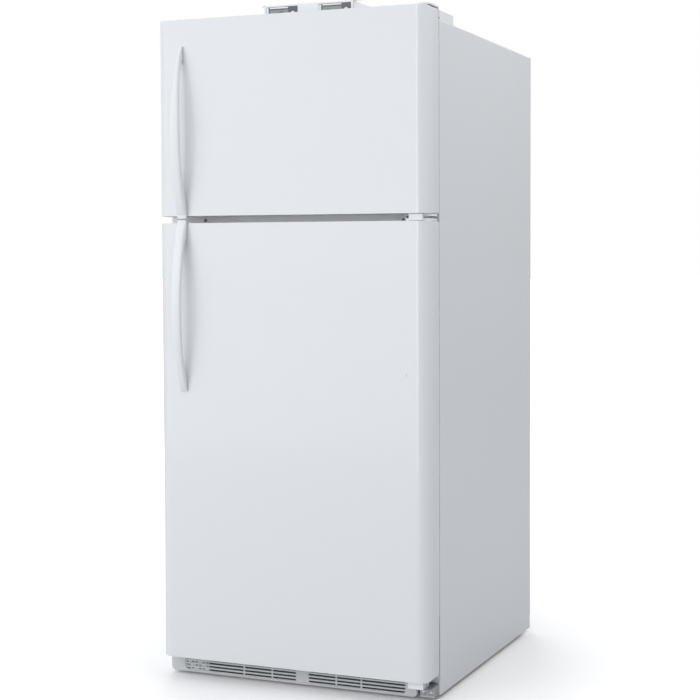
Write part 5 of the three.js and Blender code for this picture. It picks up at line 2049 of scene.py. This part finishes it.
class Base:
    """Base frame, levelling legs and rollers."""

    def build(self) -> None:
        """Models the pieces."""
        chassis = Workpiece.traced("base_chassis", "base_frame")
        chassis.soften(0.3 * MM, 1, 45).fit("cabinet", Slot.ZINC, "base_frame")
        for side in ("left", "right"):
            node = f"levelling_leg_{side}"
            leg = Workpiece.traced(f"{node}_foot", node)
            leg.soften(1.2 * MM, 3, 45).fit(node, Slot.RUBBER, node)
            self.build_thread(node)
            node = f"rear_roller_{side}"
            wheel = Workpiece.traced(f"{node}_wheel", node)
            wheel.faces(lambda _, normal: abs(normal.x) > 0.95).inset(3 * MM, -1.2 * MM)
            wheel.soften(0.8 * MM, 2, 45).fit(node, Slot.GREY, node)

    def build_thread(self, node: str) -> None:
        """Winds rings up a leg's stud for its thread.

        Args:
            node: The leg that the thread belongs to.
        """
        low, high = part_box(node)
        place = ((low.x + high.x) / 2, (low.y + high.y) / 2, low.z + 11 * MM)
        ring = Workpiece.ring(f"{node}_thread", 5 * MM, 0.5 * MM, place, (0, 0, 0))
        ring.faces(lambda middle, _: True).move(z=0.1 * MM)
        offsets = [(0.0, 0.0, step * 1.9 * MM) for step in range(1, 17)]
        ring.spread(offsets).fit(node, Slot.ZINC, finish=PLATED_STEEL)


# ---------------------------------------------------------------- studio


@dataclass
class Studio:
    """Floor, light and camera.

    Attributes:
        eye: The camera's place.
        turn: Its turn about the upright, in radians.
        tilt: How far it looks down, in radians.
        lens: Focal length in millimetres on the sensor.
        shift: The lens's shift, as shares of the picture.
        floor_size: The floor's side.
        paper: The floor's two tones.
        paper_glow: How strongly the floor turns white away from the object.
        bounce: The colour of light that comes back off the floor.
        sky: How bright the surrounding light is on its dark and bright side.
    """

    eye: tuple[float, float, float] = (1.6714, -3.4616, 1.0683)
    turn: float = 0.3521
    tilt: float = 0.0415
    lens: float = 72.65
    shift: Span = (-0.2, -0.04)
    floor_size: float = 400.0
    paper: tuple[Colour, Colour] = ((0.90, 0.90, 0.905), (0.88, 0.88, 0.885))
    paper_glow: float = 0.75
    bounce: Colour = (0.52, 0.53, 0.54)
    sky: Span = (0.29, 1.06)

    def build(self) -> None:
        """Sets up the studio."""
        self.build_floor()
        self.build_world()
        self.add_light("key_softbox", (-2.5, -4.2, 1.5), (0.0, -0.3, 1.0), (5.0, 3.4), 66.0)
        self.add_light("side_softbox", (2.1, 0.0, 3.2), (0.4, 0.0, 1.6), (1.4, 1.4), 27.0)
        strip = self.add_light(
            "strip_light", (-0.15, -4.1, 1.3), (0.36, -0.34, 1.0), (0.35, 3.4), 26.0
        )
        strip.visible_diffuse = False
        self.add_light("rear_softbox", (-2.5, 4.2, 3.0), (0.0, 0.3, 0.9), (3.0, 2.6), 60.0)
        self.place_camera()

    def build_floor(self) -> None:
        """Lays a plain pale floor that turns white away from the object."""
        clear_bench()
        bpy.ops.mesh.primitive_plane_add(size=self.floor_size, location=(0, 0, -0.0005))
        floor = Workpiece("studio_floor").body
        bpy.ops.object.transform_apply(location=True, rotation=True, scale=True)
        paper = bpy.data.materials.new("pale_paper")
        paper.use_nodes = True
        sheet = Layout(paper.node_tree)
        place = sheet.place()
        flat = sheet.add("ShaderNodeVectorMath", {0: place}, operation="LENGTH")["Value"]
        far = sheet.add("ShaderNodeMapRange", {0: flat, 1: 0.5, 2: 2.6, 3: 0.0, 4: 1.0})[0]
        fibre = sheet.add(
            "ShaderNodeTexNoise", {"Vector": place, "Scale": 60.0, "Detail": 3.0}
        )["Fac"]
        tone = sheet.blend(fibre, rgba(self.paper[0]), rgba(self.paper[1]))
        glow = sheet.blend(far, rgba((0.12, 0.12, 0.12)), rgba((1.0, 1.0, 1.0)))
        shader = sheet.add(
            "ShaderNodeBsdfPrincipled",
            {
                "Base Color": tone,
                "Roughness": 0.7,
                "Emission Color": glow,
                "Emission Strength": self.paper_glow,
            },
        )
        dull = sheet.add("ShaderNodeBsdfDiffuse", {"Color": rgba(self.bounce)})
        seen = sheet.add("ShaderNodeLightPath")["Is Camera Ray"]
        both = sheet.add("ShaderNodeMixShader", {0: seen, 1: dull[0], 2: shader[0]})
        sheet.add("ShaderNodeOutputMaterial", {"Surface": both[0]})
        floor.data.materials.append(paper)

    def build_world(self) -> None:
        """Surrounds the scene with soft light, brighter from the upper left, white to the eye."""
        world = bpy.data.worlds.new("soft_surround")
        bpy.context.scene.world = world
        world.use_nodes = True
        sheet = Layout(world.node_tree)
        way = sheet.add("ShaderNodeTexCoord")["Generated"]
        lean = sheet.add(
            "ShaderNodeVectorMath", {0: way, 1: (-0.55, -0.5, 0.45)}, operation="DOT_PRODUCT"
        )["Value"]
        dark, bright = self.sky
        level = sheet.add(
            "ShaderNodeMapRange", {0: lean, 1: -0.85, 2: 0.85, 3: dark, 4: bright}
        )[0]
        soft = sheet.add(
            "ShaderNodeBackground", {"Color": (0.965, 0.98, 1.0, 1.0), "Strength": level}
        )
        white = sheet.add("ShaderNodeBackground", {"Color": (1.0, 1.0, 1.0, 1.0), "Strength": 1.0})
        seen = sheet.add("ShaderNodeLightPath")["Is Camera Ray"]
        both = sheet.add("ShaderNodeMixShader", {0: seen, 1: soft[0], 2: white[0]})
        sheet.add("ShaderNodeOutputWorld", {"Surface": both[0]})

    def add_light(
        self, name: str, place: Iterable[float], aim: Iterable[float], size: Span, power: float
    ) -> bpy.types.Object:
        """Hangs a softbox.

        Args:
            name: The light's name.
            place: Where it hangs.
            aim: What it faces.
            size: Its width and height.
            power: Its power in watts.

        Returns:
            The light.
        """
        data = bpy.data.lights.new(name, "AREA")
        data.shape = "RECTANGLE"
        data.size, data.size_y = size
        data.energy = power
        light = bpy.data.objects.new(name, data)
        light.location = place
        light.rotation_euler = (Vector(aim) - Vector(place)).to_track_quat("-Z", "Y").to_euler()
        bpy.context.scene.collection.objects.link(light)
        return light

    def place_camera(self) -> None:
        """Places the camera and shows colours as they are."""
        data = bpy.data.cameras.new("viewpoint")
        data.sensor_width = 36.0
        data.lens = self.lens
        data.shift_x, data.shift_y = self.shift
        data.clip_start, data.clip_end = 0.05, 100.0
        camera = bpy.data.objects.new("viewpoint", data)
        camera.location = self.eye
        camera.rotation_euler = (math.pi / 2 - self.tilt, 0.0, self.turn)
        bpy.context.scene.collection.objects.link(camera)
        bpy.context.scene.camera = camera
        bpy.context.scene.view_settings.view_transform = "Standard"


def main() -> None:
    """Builds the refrigerator, piece by piece, and its studio."""
    logging.basicConfig(level=logging.INFO, format="%(message)s")
    Studio().build()
    Cabinet().build()
    Grille().build()
    upper_handle = BowHandle("freezer", tip=9 * MM, gap_end=True)
    Door("freezer", (4 * MM, 12 * MM), ("freezer_door_bin",), upper_handle).build()
    lower_handle = BowHandle("fridge", tip=20 * MM, gap_end=False)
    lower_bins = ("fridge_door_bin_lower", "fridge_door_bin_upper")
    Door("fridge", (12 * MM, 4 * MM), lower_bins, lower_handle).build()
    DoorTrim().build()
    Hinges().build()
    Thermometers().build()
    ControlPanel().build()
    FreshFoodRoom().build()
    FreezerRoom().build()
    MachineRoom().build()
    Base().build()
    clear_bench()


if __name__ == "__main__":
    main()
